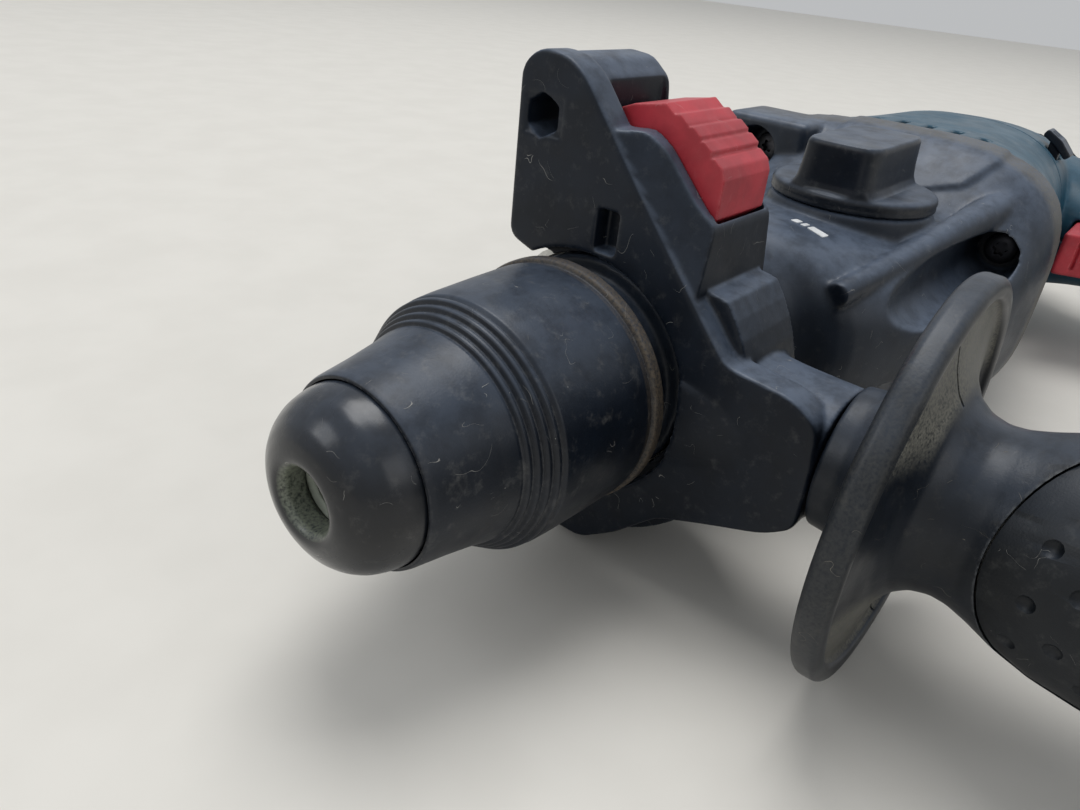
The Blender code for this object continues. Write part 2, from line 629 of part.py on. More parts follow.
def build_rear_details():
    rubber = rear_body(2.0)
    cut(rubber, rear_body(GAP))
    line = [(-330.0, -14.0), (-292.0, -14.0), (-286.0, 6.0), (-293.0, 30.0), (-281.0, 62.0), (-268.0, 84.0),
            (-264.0, 112.0), (-267.0, 146.0), (-330.0, 146.0)]
    part(keep(rubber, flat(rounded(line, 9.0, 3), -60.0, 60.0)), "grip_rubber", "black_rubber", sharp=40)

    for number, (x, y) in enumerate(HANDLE_SCREWS, 1):
        screw = [(12.6, 0.0), (12.6, 3.8), (9.3, 3.8), (9.3, 1.9), (-7.0, 1.9), (-7.0, 0.0)]
        part(turned(screw, (x, y, 0), axis="z", segments=10, closed=False), f"handle_screw_{number}", "dark_steel")

    part(block((-274.0, 54.0, -7.0), (-248.6, 95.0, 7.0), 1.0), "switch_module", "gloss_black")
    outline = rounded([(-213.5, 55.0), (-219.5, 71.0), (-222.5, 87.0), (-241.0, 87.0), (-241.0, 55.0)], 2.5, 3)
    trigger = flat(outline, -7.5, 7.5)
    edge = trigger.modifiers.new("edge", "BEVEL")
    edge.width = 1.6 * MM
    edge.segments = 2
    edge.limit_method = "ANGLE"
    edge.angle_limit = math.radians(50)
    part(trigger, "trigger", "red")
    part(turned([(20.6, 0.0), (20.6, 3.4), (19.8, 4.2), (11.2, 4.2), (11.2, 0.0)], at=(-253.0, 76.0, 0),
                axis="z", segments=14, closed=False), "lock_on_button", "charcoal")

    lever = block((-249.6, 33.5, 33.4), (-241.6, 44.0, 37.0), 0.8)
    join(lever, block((-247.6, 36.5, 22.0), (-243.6, 40.5, 35.0)))
    part(lever, "direction_lever", "charcoal")

    gland = turned([(167.0, 8.0), (166.0, 9.0), (160.4, 9.0), (160.4, 7.5), (156.8, 7.5), (156.8, 9.4),
                    (152.5, 9.4), (152.5, 4.1), (167.0, 4.1)], at=(-268.0, 0, 0), axis="y", segments=16)
    part(gland, "cord_inlet", "black_rubber")


# ---------------------------------------------------------------- side handle

def build_collar():
    """Plastic clamp body: front plate, saddle round the neck, boss for the grip and box for the button."""
    collar = flat(rounded(COLLAR_OUTLINE, 3.0, 2), -10.0, -4.0, axis="x")
    arc = [math.radians(40 - 9 * step) for step in range(15)]
    saddle = [(24.0, 25.0)] + [(37.5 * math.cos(angle), 37.5 * math.sin(angle)) for angle in arc]
    saddle += [(0.0, -30.0), (-4.0, -20.0), (-4.0, 22.0), (-15.0, 26.0), (-15.0, 32.0)]
    join(collar, flat(saddle, -30.0, -8.0, axis="x"))
    join(collar, flat(rounded(BOX_OUTLINE, 2.0, 2), -33.0, -8.0, axis="x"))
    join(collar, rod(12.5, 20.0, 52.9, at=(HANDLE_X, 0, 0), axis="y", segments=18))
    cut(collar, rod(26.2, -11.0, 0.0, segments=28))
    cut(collar, rod(24.4, -40.0, -9.0, segments=28))
    cut(collar, rod(26.3, -28.4, -9.5, segments=28))
    cut(collar, block((HANDLE_X - 7.6, 18.0, -6.2), (HANDLE_X + 7.0, 42.0, 6.2)))
    cut(collar, rod(4.4, 38.0, 60.0, at=(HANDLE_X, 0, 0), axis="y", segments=12))
    cut(collar, flat(rounded(POCKET_OUTLINE, 1.5, 2), -31.5, -12.0, axis="x"))
    cut(collar, flat(hexagon(4.15), -40.0, 0.0, at=(0, *ROD_HOLE), axis="x"))
    cut(collar, block((-7.0, 1.6, 27.6), (0.0, 6.6, 35.3)))
    part(collar, "side_handle_collar", "charcoal", sharp=40)


def build_side_handle():
    build_collar()
    band = ring(25.9, 24.6, -27.0, -11.5, segments=28)
    cut(band, block((-30.0, 15.0, -3.2), (-8.0, 35.0, 3.2)))
    for side in (1, -1):
        low, high = sorted((3.4 * side, 4.7 * side))
        join(band, block((-23.5, 23.8, low), (-11.5, 31.5, high)))
    part(band, "clamp_band", "steel")

    bolt = turned([(92.0, 0.0), (92.0, 3.9), (37.0, 3.9), (37.0, 5.2), (33.4, 5.2), (33.4, 0.0)],
                  at=(HANDLE_X, 0, 0), axis="y", segments=14, closed=False)
    part(bolt, "clamp_bolt", "dark_steel")
    nut = flat(hexagon(7.2), -3.5, 3.5, at=(HANDLE_X, 58.4, 0))
    nut.rotation_euler = (math.radians(-90), 0, 0)
    cut(nut, rod(4.2, 50.0, 66.0, at=(HANDLE_X, 0, 0), axis="y", segments=12))
    part(nut, "clamp_nut", "dark_steel")

    grip = [(HANDLE_END_Y, 0.0), (HANDLE_END_Y, 17.0), (183.8, 19.0), (181.8, 20.4), (181.8, 14.5), (81.0, 14.5),
            (79.0, 17.6), (74.0, 17.2), (70.5, 20.0), (67.9, 26.0), (67.0, 36.5), (66.0, 38.0), (63.8, 38.3),
            (62.0, 36.6), (60.5, 24.0), (57.0, 16.5), (53.3, 15.0), (53.3, 7.6), (62.2, 7.6), (62.2, 4.3),
            (94.0, 4.3), (94.0, 0.0)]
    part(turned(grip, at=(HANDLE_X, 0, 0), axis="y", segments=28, closed=False), "side_handle_grip", "charcoal",
         sharp=40)
    sleeve = [(181.5, 22.5), (178.0, 23.6), (172.0, 22.0), (150.0, 19.8), (120.0, 21.2), (98.0, 21.6), (88.0, 20.2),
              (80.6, 18.2), (82.2, 14.8), (181.5, 14.8)]
    part(turned(sleeve, at=(HANDLE_X, 0, 0), axis="y", segments=20), "side_handle_rubber", "black_rubber")
    button = flat(rounded(BUTTON_OUTLINE, 1.2, 2), -31.0, -12.5, axis="x")
    part(button, "depth_stop_button", "red")


def build_tool():
    build_chuck()
    build_drive()
    build_hammer()
    build_motor()
    build_gear_housing()
    build_mode_knob()
    build_motor_housing()
    build_handle_shells()
    build_rear_details()
    build_side_handle()


clear_scene()
PARTS = new_collection("rotary_hammer")
CUTTERS = new_collection("cutters")
FRAME = tool_frame()
build_tool()
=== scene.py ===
"""Looks of a rotary hammer that lies on its right side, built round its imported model.

Pieces are drawn in millimetres on the tool's own axes: x forwards along the spindle from the locking sleeve's rear
rim, y from the spindle towards the grip, z out of the tool's left side. Each finished piece is then scaled to metres
and set in its place, with its object at the origin.
"""
import json
import logging
import math
from contextlib import contextmanager
from dataclasses import dataclass
from enum import Enum
from typing import Callable, Iterator, Optional, Sequence

import bmesh
import bpy
from mathutils import Matrix, Vector


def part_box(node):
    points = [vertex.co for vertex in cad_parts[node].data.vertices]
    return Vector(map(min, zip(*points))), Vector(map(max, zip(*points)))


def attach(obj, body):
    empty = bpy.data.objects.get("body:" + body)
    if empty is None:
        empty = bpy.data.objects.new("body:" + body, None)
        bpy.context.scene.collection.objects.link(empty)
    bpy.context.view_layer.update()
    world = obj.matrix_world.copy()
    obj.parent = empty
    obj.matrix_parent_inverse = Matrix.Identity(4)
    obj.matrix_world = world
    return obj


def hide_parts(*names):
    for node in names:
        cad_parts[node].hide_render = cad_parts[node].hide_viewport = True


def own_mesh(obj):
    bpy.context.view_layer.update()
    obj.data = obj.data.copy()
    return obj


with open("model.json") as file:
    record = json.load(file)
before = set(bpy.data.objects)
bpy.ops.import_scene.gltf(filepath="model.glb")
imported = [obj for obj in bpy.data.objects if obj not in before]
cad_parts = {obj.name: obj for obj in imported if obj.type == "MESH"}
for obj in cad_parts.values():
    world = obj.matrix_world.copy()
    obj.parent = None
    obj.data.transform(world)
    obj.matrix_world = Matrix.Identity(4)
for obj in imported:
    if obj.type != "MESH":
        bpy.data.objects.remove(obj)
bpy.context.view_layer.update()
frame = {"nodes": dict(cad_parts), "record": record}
LOG = logging.getLogger("rotary_hammer")

MM = 0.001
MERGE_MM = 0.001
LOBE_STEPS = 36
Point2 = tuple[float, float]
Point3 = tuple[float, float, float]
Colour = tuple[float, float, float]
Section = tuple[float, float, float, float, float]


class Axis(Enum):
    """Direction that a turned, lofted or drawn shape runs along."""

    X = (1.0, 0.0, 0.0)
    Y = (0.0, 1.0, 0.0)
    Z = (0.0, 0.0, 1.0)


class Side(Enum):
    """Side of the tool, as the sign of z."""

    LEFT = 1
    RIGHT = -1


def tool_origin() -> Vector:
    """Place of the tool's own origin in the model, from the sleeve's rear rim and the hammer tube's axis.

    Returns:
        The origin in metres.
    """
    sleeve_low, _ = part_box("locking_sleeve")
    tube_low, tube_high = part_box("hammer_tube")
    middle = (tube_low + tube_high) / 2
    return Vector((sleeve_low.x, middle.y, middle.z))


ORIGIN = tool_origin()


# ---------------------------------------------------------------- modelling by operators

def only(thing: bpy.types.Object) -> bpy.types.Object:
    """Select one object alone and make it active.

    Args:
        thing: The object to work on.

    Returns:
        The same object.
    """
    bpy.ops.object.select_all(action="DESELECT")
    thing.select_set(True)
    bpy.context.view_layer.objects.active = thing
    return thing


@contextmanager
def editing(thing: bpy.types.Object) -> Iterator[bmesh.types.BMesh]:
    """Edit mode on one object with nothing selected.

    Args:
        thing: The object to edit.

    Yields:
        Its edit mesh, for choosing faces and edges.
    """
    only(thing)
    bpy.ops.object.mode_set(mode="EDIT")
    bpy.ops.mesh.select_all(action="DESELECT")
    yield bmesh.from_edit_mesh(thing.data)
    bpy.ops.object.mode_set(mode="OBJECT")


def applied(thing: bpy.types.Object, kind: str, **settings: object) -> bpy.types.Object:
    """Add a modifier and apply it.

    Args:
        thing: The object that takes it.
        kind: The modifier's type.
        **settings: Its properties.

    Returns:
        The same object.
    """
    only(thing)
    modifier = thing.modifiers.new(kind.lower(), kind)
    for key, value in settings.items():
        setattr(modifier, key, value)
    bpy.ops.object.modifier_apply(modifier=modifier.name)
    return thing


def edged(thing: bpy.types.Object, width: float, degrees: float, segments: int = 3) -> bpy.types.Object:
    """Round the edges of a shape that are sharper than an angle.

    Args:
        thing: The shape.
        width: Width of the rounding.
        degrees: The angle.
        segments: Faces across each rounding.

    Returns:
        The same shape.
    """
    return applied(thing, "BEVEL", width=width, segments=segments, limit_method="ANGLE",
                   angle_limit=math.radians(degrees))


def combined(thing: bpy.types.Object, other: bpy.types.Object, operation: str) -> bpy.types.Object:
    """Boolean of two shapes; the second one is used up.

    Args:
        thing: The shape that stays.
        other: The shape that cuts or joins it.
        operation: DIFFERENCE, UNION or INTERSECT.

    Returns:
        The first shape.
    """
    applied(thing, "BOOLEAN", operation=operation, solver="EXACT", object=other)
    bpy.data.objects.remove(other, do_unlink=True)
    return thing


def cut(thing: bpy.types.Object, *others: bpy.types.Object) -> bpy.types.Object:
    """Take shapes out of a shape."""
    for other in others:
        combined(thing, other, "DIFFERENCE")
    return thing


def join(thing: bpy.types.Object, *others: bpy.types.Object) -> bpy.types.Object:
    """Join shapes to a shape."""
    for other in others:
        combined(thing, other, "UNION")
    return thing


def rounded(points: Sequence[Point2], radius: float, steps: int = 5, closed: bool = True) -> list[Point2]:
    """Polyline with its corners rounded off.

    Args:
        points: The corners.
        radius: How far back from each corner its curve starts.
        steps: Pieces in each curve.
        closed: Whether the last corner joins the first.

    Returns:
        The rounded polyline.
    """
    out: list[Point2] = []
    count = len(points)
    for index, corner in enumerate(points):
        here = Vector(corner)
        if not closed and index in (0, count - 1):
            out.append(tuple(here))
            continue
        back = Vector(points[index - 1]) - here
        ahead = Vector(points[(index + 1) % count]) - here
        reach = min(radius, back.length / 2.05, ahead.length / 2.05)
        start = here + back.normalized() * reach
        end = here + ahead.normalized() * reach
        for step in range(steps + 1):
            t = step / steps
            spot = start * (1 - t) ** 2 + here * 2 * t * (1 - t) + end * t ** 2
            out.append((spot.x, spot.y))
    return out


def on_axis(axis: Axis, along: float, u: float, v: float) -> Vector:
    """Point at a distance along an axis and off it.

    Args:
        axis: The axis.
        along: Distance along it.
        u: First offset: y for X, x for Y and Z.
        v: Second offset: z for X and Y, y for Z.

    Returns:
        The point.
    """
    if axis is Axis.X:
        return Vector((along, u, v))
    if axis is Axis.Y:
        return Vector((u, along, v))
    return Vector((u, v, along))


def drawn(points: Sequence[Vector], name: str) -> bpy.types.Object:
    """Chain of edges through points, drawn by extruding one vertex from point to point.

    Args:
        points: The points in order.
        name: The new object's name.

    Returns:
        The object, still without faces.
    """
    bpy.ops.object.select_all(action="DESELECT")
    bpy.ops.mesh.primitive_plane_add(size=1.0, location=(0, 0, 0))
    thing = bpy.context.object
    thing.name = name
    bpy.ops.object.mode_set(mode="EDIT")
    bpy.ops.mesh.select_mode(type="VERT")
    bpy.ops.mesh.select_all(action="SELECT")
    bpy.ops.mesh.merge(type="CENTER")
    bpy.ops.transform.translate(value=points[0])
    for first, second in zip(points, points[1:]):
        bpy.ops.mesh.extrude_region_move(TRANSFORM_OT_translate={"value": second - first})
    bpy.ops.object.mode_set(mode="OBJECT")
    return thing


def turned(profile: Sequence[Point2], name: str, at: Point3 = (0, 0, 0), axis: Axis = Axis.X,
           steps: int = 96) -> bpy.types.Object:
    """Closed shape turned about an axis by the spin operator.

    Args:
        profile: (distance along the axis, radius) pairs; it closes by itself or ends on the axis.
        name: The new object's name.
        at: A point on the axis.
        axis: The axis.
        steps: Segments round it.

    Returns:
        The turned shape.
    """
    centre = Vector(at)
    loop = list(profile)
    if loop[0][1] > 0 or loop[-1][1] > 0:
        loop.append(loop[0])
    thing = drawn([centre + on_axis(axis, along, radius, 0) for along, radius in loop], name)
    with editing(thing):
        bpy.ops.mesh.select_all(action="SELECT")
        bpy.ops.mesh.spin(steps=steps, angle=math.tau, center=centre, axis=axis.value)
        bpy.ops.mesh.select_all(action="SELECT")
        bpy.ops.mesh.remove_doubles(threshold=MERGE_MM)
        bpy.ops.mesh.normals_make_consistent(inside=False)
    return thing


def filled(loop: Sequence[Vector], run: Vector, name: str) -> bpy.types.Object:
    """Flat loop of points, filled and extruded.

    Args:
        loop: The points in order.
        run: How far and which way it is extruded.
        name: The new object's name.

    Returns:
        The solid.
    """
    thing = drawn([*loop, loop[0]], name)
    with editing(thing):
        bpy.ops.mesh.select_all(action="SELECT")
        bpy.ops.mesh.remove_doubles(threshold=MERGE_MM)
        bpy.ops.mesh.edge_face_add()
        bpy.ops.mesh.extrude_region_move(TRANSFORM_OT_translate={"value": run})
        bpy.ops.mesh.select_all(action="SELECT")
        bpy.ops.mesh.normals_make_consistent(inside=False)
    return thing


def plate(outline: Sequence[Point2], low: float, high: float, name: str, axis: Axis = Axis.X) -> bpy.types.Object:
    """Outline filled and extruded between two stations of the axis it faces.

    Args:
        outline: (y, z) pairs for X, (x, z) for Y, (x, y) for Z.
        low: Lower station.
        high: Upper station.
        name: The new object's name.
        axis: The axis.

    Returns:
        The solid.
    """
    return filled([on_axis(axis, low, u, v) for u, v in outline], Vector(axis.value) * (high - low), name)


def oval_point(angle: float, half_a: float, half_b: float, power: float) -> Point2:
    """Point of a superellipse, which is squarer as its power rises.

    Args:
        angle: Angle in radians.
        half_a: First half size.
        half_b: Second half size.
        power: 2 for an ellipse.

    Returns:
        The point.
    """
    a = half_a * math.copysign(abs(math.cos(angle)) ** (2 / power), math.cos(angle))
    b = half_b * math.copysign(abs(math.sin(angle)) ** (2 / power), math.sin(angle))
    return a, b


def between(sections: Sequence[Section], share: float) -> Section:
    """Section part of the way along a list of sections, on a smooth curve.

    Args:
        sections: The sections.
        share: 0 at the first section, 1 at the last.

    Returns:
        The smoothed section.
    """
    spot = share * (len(sections) - 1)
    index = min(int(spot), len(sections) - 2)
    t = spot - index
    p0, p1 = sections[max(index - 1, 0)], sections[index]
    p2, p3 = sections[index + 1], sections[min(index + 2, len(sections) - 1)]
    out = []
    for a, b, c, d in zip(p0, p1, p2, p3):
        out.append(0.5 * (2 * b + (c - a) * t + (2 * a - 5 * b + 4 * c - d) * t ** 2
                          + (3 * b - a - 3 * c + d) * t ** 3))
    return tuple(out)


def lofted(sections: Sequence[Section], name: str, axis: Axis = Axis.X, grow: float = 0.0, sides: int = 96,
           finer: int = 5, aside: float = 0.0) -> bpy.types.Object:
    """Solid through oval sections: a circle is extruded from station to station and each loop shaped.

    Args:
        sections: (station, centre, half height, half width, power), with stations along the axis.
        name: The new object's name.
        axis: The axis.
        grow: How much every section is enlarged.
        sides: Points in each loop.
        finer: Loops for each section given.
        aside: Centre in the second direction across the axis.

    Returns:
        The closed solid.
    """
    count = (len(sections) - 1) * finer
    smooth = [between(sections, step / count) for step in range(count + 1)] if finer > 1 else list(sections)
    bpy.ops.object.select_all(action="DESELECT")
    bpy.ops.mesh.primitive_circle_add(vertices=sides, radius=1.0, fill_type="NOTHING")
    thing = bpy.context.object
    thing.name = name
    bpy.ops.object.mode_set(mode="EDIT")
    bpy.ops.mesh.select_mode(type="VERT")
    for index, (station, centre, half_a, half_b, power) in enumerate(smooth):
        if index:
            bpy.ops.mesh.extrude_region_move(TRANSFORM_OT_translate={"value": (0, 0, 1)})
        mesh = bmesh.from_edit_mesh(thing.data)
        mesh.verts.ensure_lookup_table()
        loop = [vertex for vertex in mesh.verts if vertex.select]
        if index == 0:
            loop.sort(key=lambda vertex: math.atan2(vertex.co.y, vertex.co.x))
            order = loop
        else:
            order = [next(edge.other_vert(old) for edge in old.link_edges if edge.other_vert(old).select)
                     for old in order]
        for step, vertex in enumerate(order):
            a, b = oval_point(math.tau * step / sides, half_a + grow, half_b + grow, power)
            vertex.co = on_axis(axis, station, centre + a, aside + b)
        bmesh.update_edit_mesh(thing.data)
    bpy.ops.mesh.select_all(action="DESELECT")
    bpy.ops.mesh.select_non_manifold()
    bpy.ops.mesh.fill_holes(sides=0)
    bpy.ops.mesh.select_all(action="SELECT")
    bpy.ops.mesh.normals_make_consistent(inside=False)
    bpy.ops.object.mode_set(mode="OBJECT")
    return thing


def rod(radius: float, low: float, high: float, at: Point3 = (0, 0, 0), axis: Axis = Axis.X,
        steps: int = 64) -> bpy.types.Object:
    """Plain cylinder for cutting and joining, between two stations of an axis."""
    return turned([(high, 0.0), (high, radius), (low, radius), (low, 0.0)], "rod", at, axis, steps)


def block(low: Point3, high: Point3, name: str = "block", bevel: float = 0.0) -> bpy.types.Object:
    """Box between two corners, for cutting and joining.

    Args:
        low: Lowest corner.
        high: Highest corner.
        name: The new object's name.
        bevel: Radius of its rounded edges.

    Returns:
        The box.
    """
    bpy.ops.object.select_all(action="DESELECT")
    bpy.ops.mesh.primitive_cube_add(size=1.0)
    thing = bpy.context.object
    thing.name = name
    bpy.ops.object.mode_set(mode="EDIT")
    bpy.ops.transform.resize(value=[b - a for a, b in zip(low, high)])
    bpy.ops.transform.translate(value=[(a + b) / 2 for a, b in zip(low, high)])
    bpy.ops.object.mode_set(mode="OBJECT")
    if bevel:
        edged(thing, bevel, 40, 4)
    return thing


def sided(low: Point3, high: Point3, side: Side, bevel: float = 0.0) -> bpy.types.Object:
    """Box given for the left side and mirrored to the side asked for.

    Args:
        low: Its corner nearest the middle plane.
        high: Its corner farthest out.
        side: The side.
        bevel: Radius of its rounded edges.

    Returns:
        The box.
    """
    near, far = sorted((low[2] * side.value, high[2] * side.value))
    return block((low[0], low[1], near), (high[0], high[1], far), bevel=bevel)


def six_lobes(centre: Point2, mean: float, swing: float) -> list[Point2]:
    """Outline of a six-lobed driver recess.

    Args:
        centre: Its middle.
        mean: Mean radius.
        swing: How far the lobes rise and fall about it.

    Returns:
        The outline.
    """
    outline = []
    for step in range(LOBE_STEPS):
        angle = math.tau * step / LOBE_STEPS
        radius = mean + swing * math.cos(6 * angle)
        outline.append((centre[0] + radius * math.cos(angle), centre[1] + radius * math.sin(angle)))
    return outline


def pressed_ball(spot: Vector, radius: float) -> bpy.types.Object:
    """Small ball that presses one dimple.

    Args:
        spot: Its centre.
        radius: Its radius.

    Returns:
        The ball.
    """
    bpy.ops.object.select_all(action="DESELECT")
    bpy.ops.mesh.primitive_uv_sphere_add(segments=16, ring_count=8, radius=radius, location=spot)
    bpy.ops.object.transform_apply(location=True, rotation=False, scale=False)
    return bpy.context.object


def dimpled(thing: bpy.types.Object, balls: Sequence[bpy.types.Object]) -> bpy.types.Object:
    """Press balls into a shape, all in one cut.

    Args:
        thing: The shape.
        balls: The balls.

    Returns:
        The same shape.
    """
    bpy.ops.object.select_all(action="DESELECT")
    for ball in balls:
        ball.select_set(True)
    bpy.context.view_layer.objects.active = balls[0]
    bpy.ops.object.join()
    return cut(thing, balls[0])


def moulded(thing: bpy.types.Object, voxel: float, passes: int, keep: float = 1.0) -> bpy.types.Object:
    """Melt a shape's edges together as a mould would, by an even remesh and a light smoothing.

    Args:
        thing: The closed shape.
        voxel: Size of the remesh in millimetres.
        passes: Smoothing passes.
        keep: Share of the faces kept at the end.

    Returns:
        The same object.
    """
    applied(thing, "REMESH", mode="VOXEL", voxel_size=voxel, adaptivity=0.0)
    applied(thing, "SMOOTH", factor=0.5, iterations=passes)
    if keep < 1.0:
        applied(thing, "DECIMATE", ratio=keep)
    return thing


# ---------------------------------------------------------------- finishes

Socket = bpy.types.NodeSocket


class ShaderSheet:
    """One material's node tree, with short calls for the nodes that the finishes use."""

    def __init__(self, name: str) -> None:
        """Start a material with a Principled shader on object coordinates."""
        self.material = bpy.data.materials.new(name)
        self.material.use_nodes = True
        self.nodes = self.material.node_tree.nodes
        self.links = self.material.node_tree.links
        self.shader = self.nodes["Principled BSDF"]
        self.place = self.nodes.new("ShaderNodeTexCoord").outputs["Object"]

    def link(self, value: object, socket: Socket) -> None:
        """Feed a socket from a value or another socket.

        Args:
            value: The value or the other socket.
            socket: The socket that is fed.
        """
        if isinstance(value, bpy.types.NodeSocket):
            self.links.new(value, socket)
        elif isinstance(value, (int, float)):
            socket.default_value = value
        else:
            socket.default_value = (*value, 1.0) if len(socket.default_value) == 4 else value

    def stretched(self, scale: Point3, turn: Point3 = (0, 0, 0)) -> Socket:
        """Coordinates scaled and turned by a Mapping node.

        Args:
            scale: Factor on each axis.
            turn: Turn in radians about each axis.

        Returns:
            The coordinates.
        """
        node = self.nodes.new("ShaderNodeMapping")
        node.inputs["Scale"].default_value = scale
        node.inputs["Rotation"].default_value = turn
        self.links.new(self.place, node.inputs["Vector"])
        return node.outputs["Vector"]

    def noise(self, size_mm: float, detail: float = 3.0, rough: float = 0.55, place: Optional[Socket] = None,
              bend: float = 0.0) -> Socket:
        """Noise with features of a given size.

        Args:
            size_mm: Size of one feature in millimetres.
            detail: Octaves.
            rough: Weight of the finer octaves.
            place: Coordinates, if not the object's.
            bend: Distortion.

        Returns:
            The noise value.
        """
        node = self.nodes.new("ShaderNodeTexNoise")
        node.inputs["Scale"].default_value = 1 / (size_mm * MM)
        node.inputs["Detail"].default_value = detail
        node.inputs["Roughness"].default_value = rough
        node.inputs["Distortion"].default_value = bend
        self.links.new(place or self.place, node.inputs["Vector"])
        return node.outputs["Fac"]

    def cells(self, size_mm: float, place: Optional[Socket] = None) -> tuple[Socket, Socket]:
        """Distance to scattered points, and a random colour for each.

        Args:
            size_mm: Mean distance between points in millimetres.
            place: Coordinates, if not the object's.

        Returns:
            The distance and the colour.
        """
        node = self.nodes.new("ShaderNodeTexVoronoi")
        node.inputs["Scale"].default_value = 1 / (size_mm * MM)
        self.links.new(place or self.place, node.inputs["Vector"])
        return node.outputs["Distance"], node.outputs["Color"]

    def sum(self, kind: str, first: object, second: object = 0.0, third: object = 0.0) -> Socket:
        """Math node of one kind.

        Args:
            kind: The operation.
            first: First value or socket.
            second: Second value or socket.
            third: Third value or socket.

        Returns:
            The result.
        """
        node = self.nodes.new("ShaderNodeMath")
        node.operation = kind
        for value, socket in zip((first, second, third), node.inputs):
            self.link(value, socket)
        return node.outputs[0]

    def window(self, value: Socket, low: float, high: float, start: float = 0.0, end: float = 1.0) -> Socket:
        """Map one range of a value to another, smoothly and clamped.

        Args:
            value: The value.
            low: Where its range starts.
            high: Where its range ends.
            start: Result at the range's start.
            end: Result at the range's end.

        Returns:
            The mapped value.
        """
        node = self.nodes.new("ShaderNodeMapRange")
        node.interpolation_type = "SMOOTHSTEP"
        for number, socket in zip((low, high, start, end), list(node.inputs)[1:5]):
            socket.default_value = number
        self.links.new(value, node.inputs["Value"])
        return node.outputs["Result"]

    def mix(self, share: object, first: object, second: object) -> Socket:
        """Mix two colours by a share.

        Args:
            share: 0 for the first colour alone, 1 for the second.
            first: First colour.
            second: Second colour.

        Returns:
            The mixed colour.
        """
        node = self.nodes.new("ShaderNodeMix")
        node.data_type = "RGBA"
        self.link(share, node.inputs["Factor"])
        self.link(first, [s for s in node.inputs if s.name == "A" and s.type == "RGBA"][0])
        self.link(second, [s for s in node.inputs if s.name == "B" and s.type == "RGBA"][0])
        return [s for s in node.outputs if s.type == "RGBA"][0]

    def edges(self, radius_mm: float) -> Socket:
        """How strongly the surface bends within a radius: 0 on flats, towards 1 on sharp edges.

        Args:
            radius_mm: The radius in millimetres.

        Returns:
            The strength.
        """
        soft = self.nodes.new("ShaderNodeBevel")
        soft.samples = 4
        soft.inputs["Radius"].default_value = radius_mm * MM
        true = self.nodes.new("ShaderNodeNewGeometry")
        dot = self.nodes.new("ShaderNodeVectorMath")
        dot.operation = "DOT_PRODUCT"
        self.links.new(soft.outputs["Normal"], dot.inputs[0])
        self.links.new(true.outputs["Normal"], dot.inputs[1])
        return self.sum("SUBTRACT", 1.0, dot.outputs["Value"])

    def painted(self, layer: str) -> Socket:
        """Value of one of the mesh's own attributes; 0 where it has none."""
        node = self.nodes.new("ShaderNodeAttribute")
        node.attribute_name = layer
        return node.outputs["Fac"]

    def bump(self, height: Socket, depth_mm: float, strength: float = 1.0, under: Optional[Socket] = None) -> Socket:
        """Bump of a given depth, over another one if given.

        Args:
            height: The height from 0 to 1.
            depth_mm: Depth in millimetres.
            strength: Share of the bump that shows.
            under: The bump beneath.

        Returns:
            The bent normal.
        """
        node = self.nodes.new("ShaderNodeBump")
        node.inputs["Distance"].default_value = depth_mm * MM
        node.inputs["Strength"].default_value = strength
        self.links.new(height, node.inputs["Height"])
        if under:
            self.links.new(under, node.inputs["Normal"])
        return node.outputs["Normal"]

    def lint(self, amount: float) -> Socket:
        """Mask of dust specks and short curled fibres that cling to the surface.

        Args:
            amount: 0 for none, 1 for a well dusted surface.

        Returns:
            The mask.
        """
        distance, colour = self.cells(0.9)
        chosen = self.window(self.sum("MULTIPLY", colour, 1.0), 1.0 - 0.16 * amount, 1.0 - 0.14 * amount)
        specks = self.sum("MULTIPLY", self.window(distance, 0.13, 0.06), chosen)
        waves = self.noise(7.0, 1.0, 0.5, bend=0.9)
        thread = self.window(self.sum("ABSOLUTE", self.sum("SUBTRACT", waves, 0.5)), 0.0022, 0.0011)
        sparse = self.window(self.noise(4.0, 0.0), 0.69 - 0.06 * amount, 0.72 - 0.06 * amount)
        fibres = self.sum("MULTIPLY", self.sum("MULTIPLY", thread, sparse), 0.75)
        return self.sum("MAXIMUM", specks, fibres)


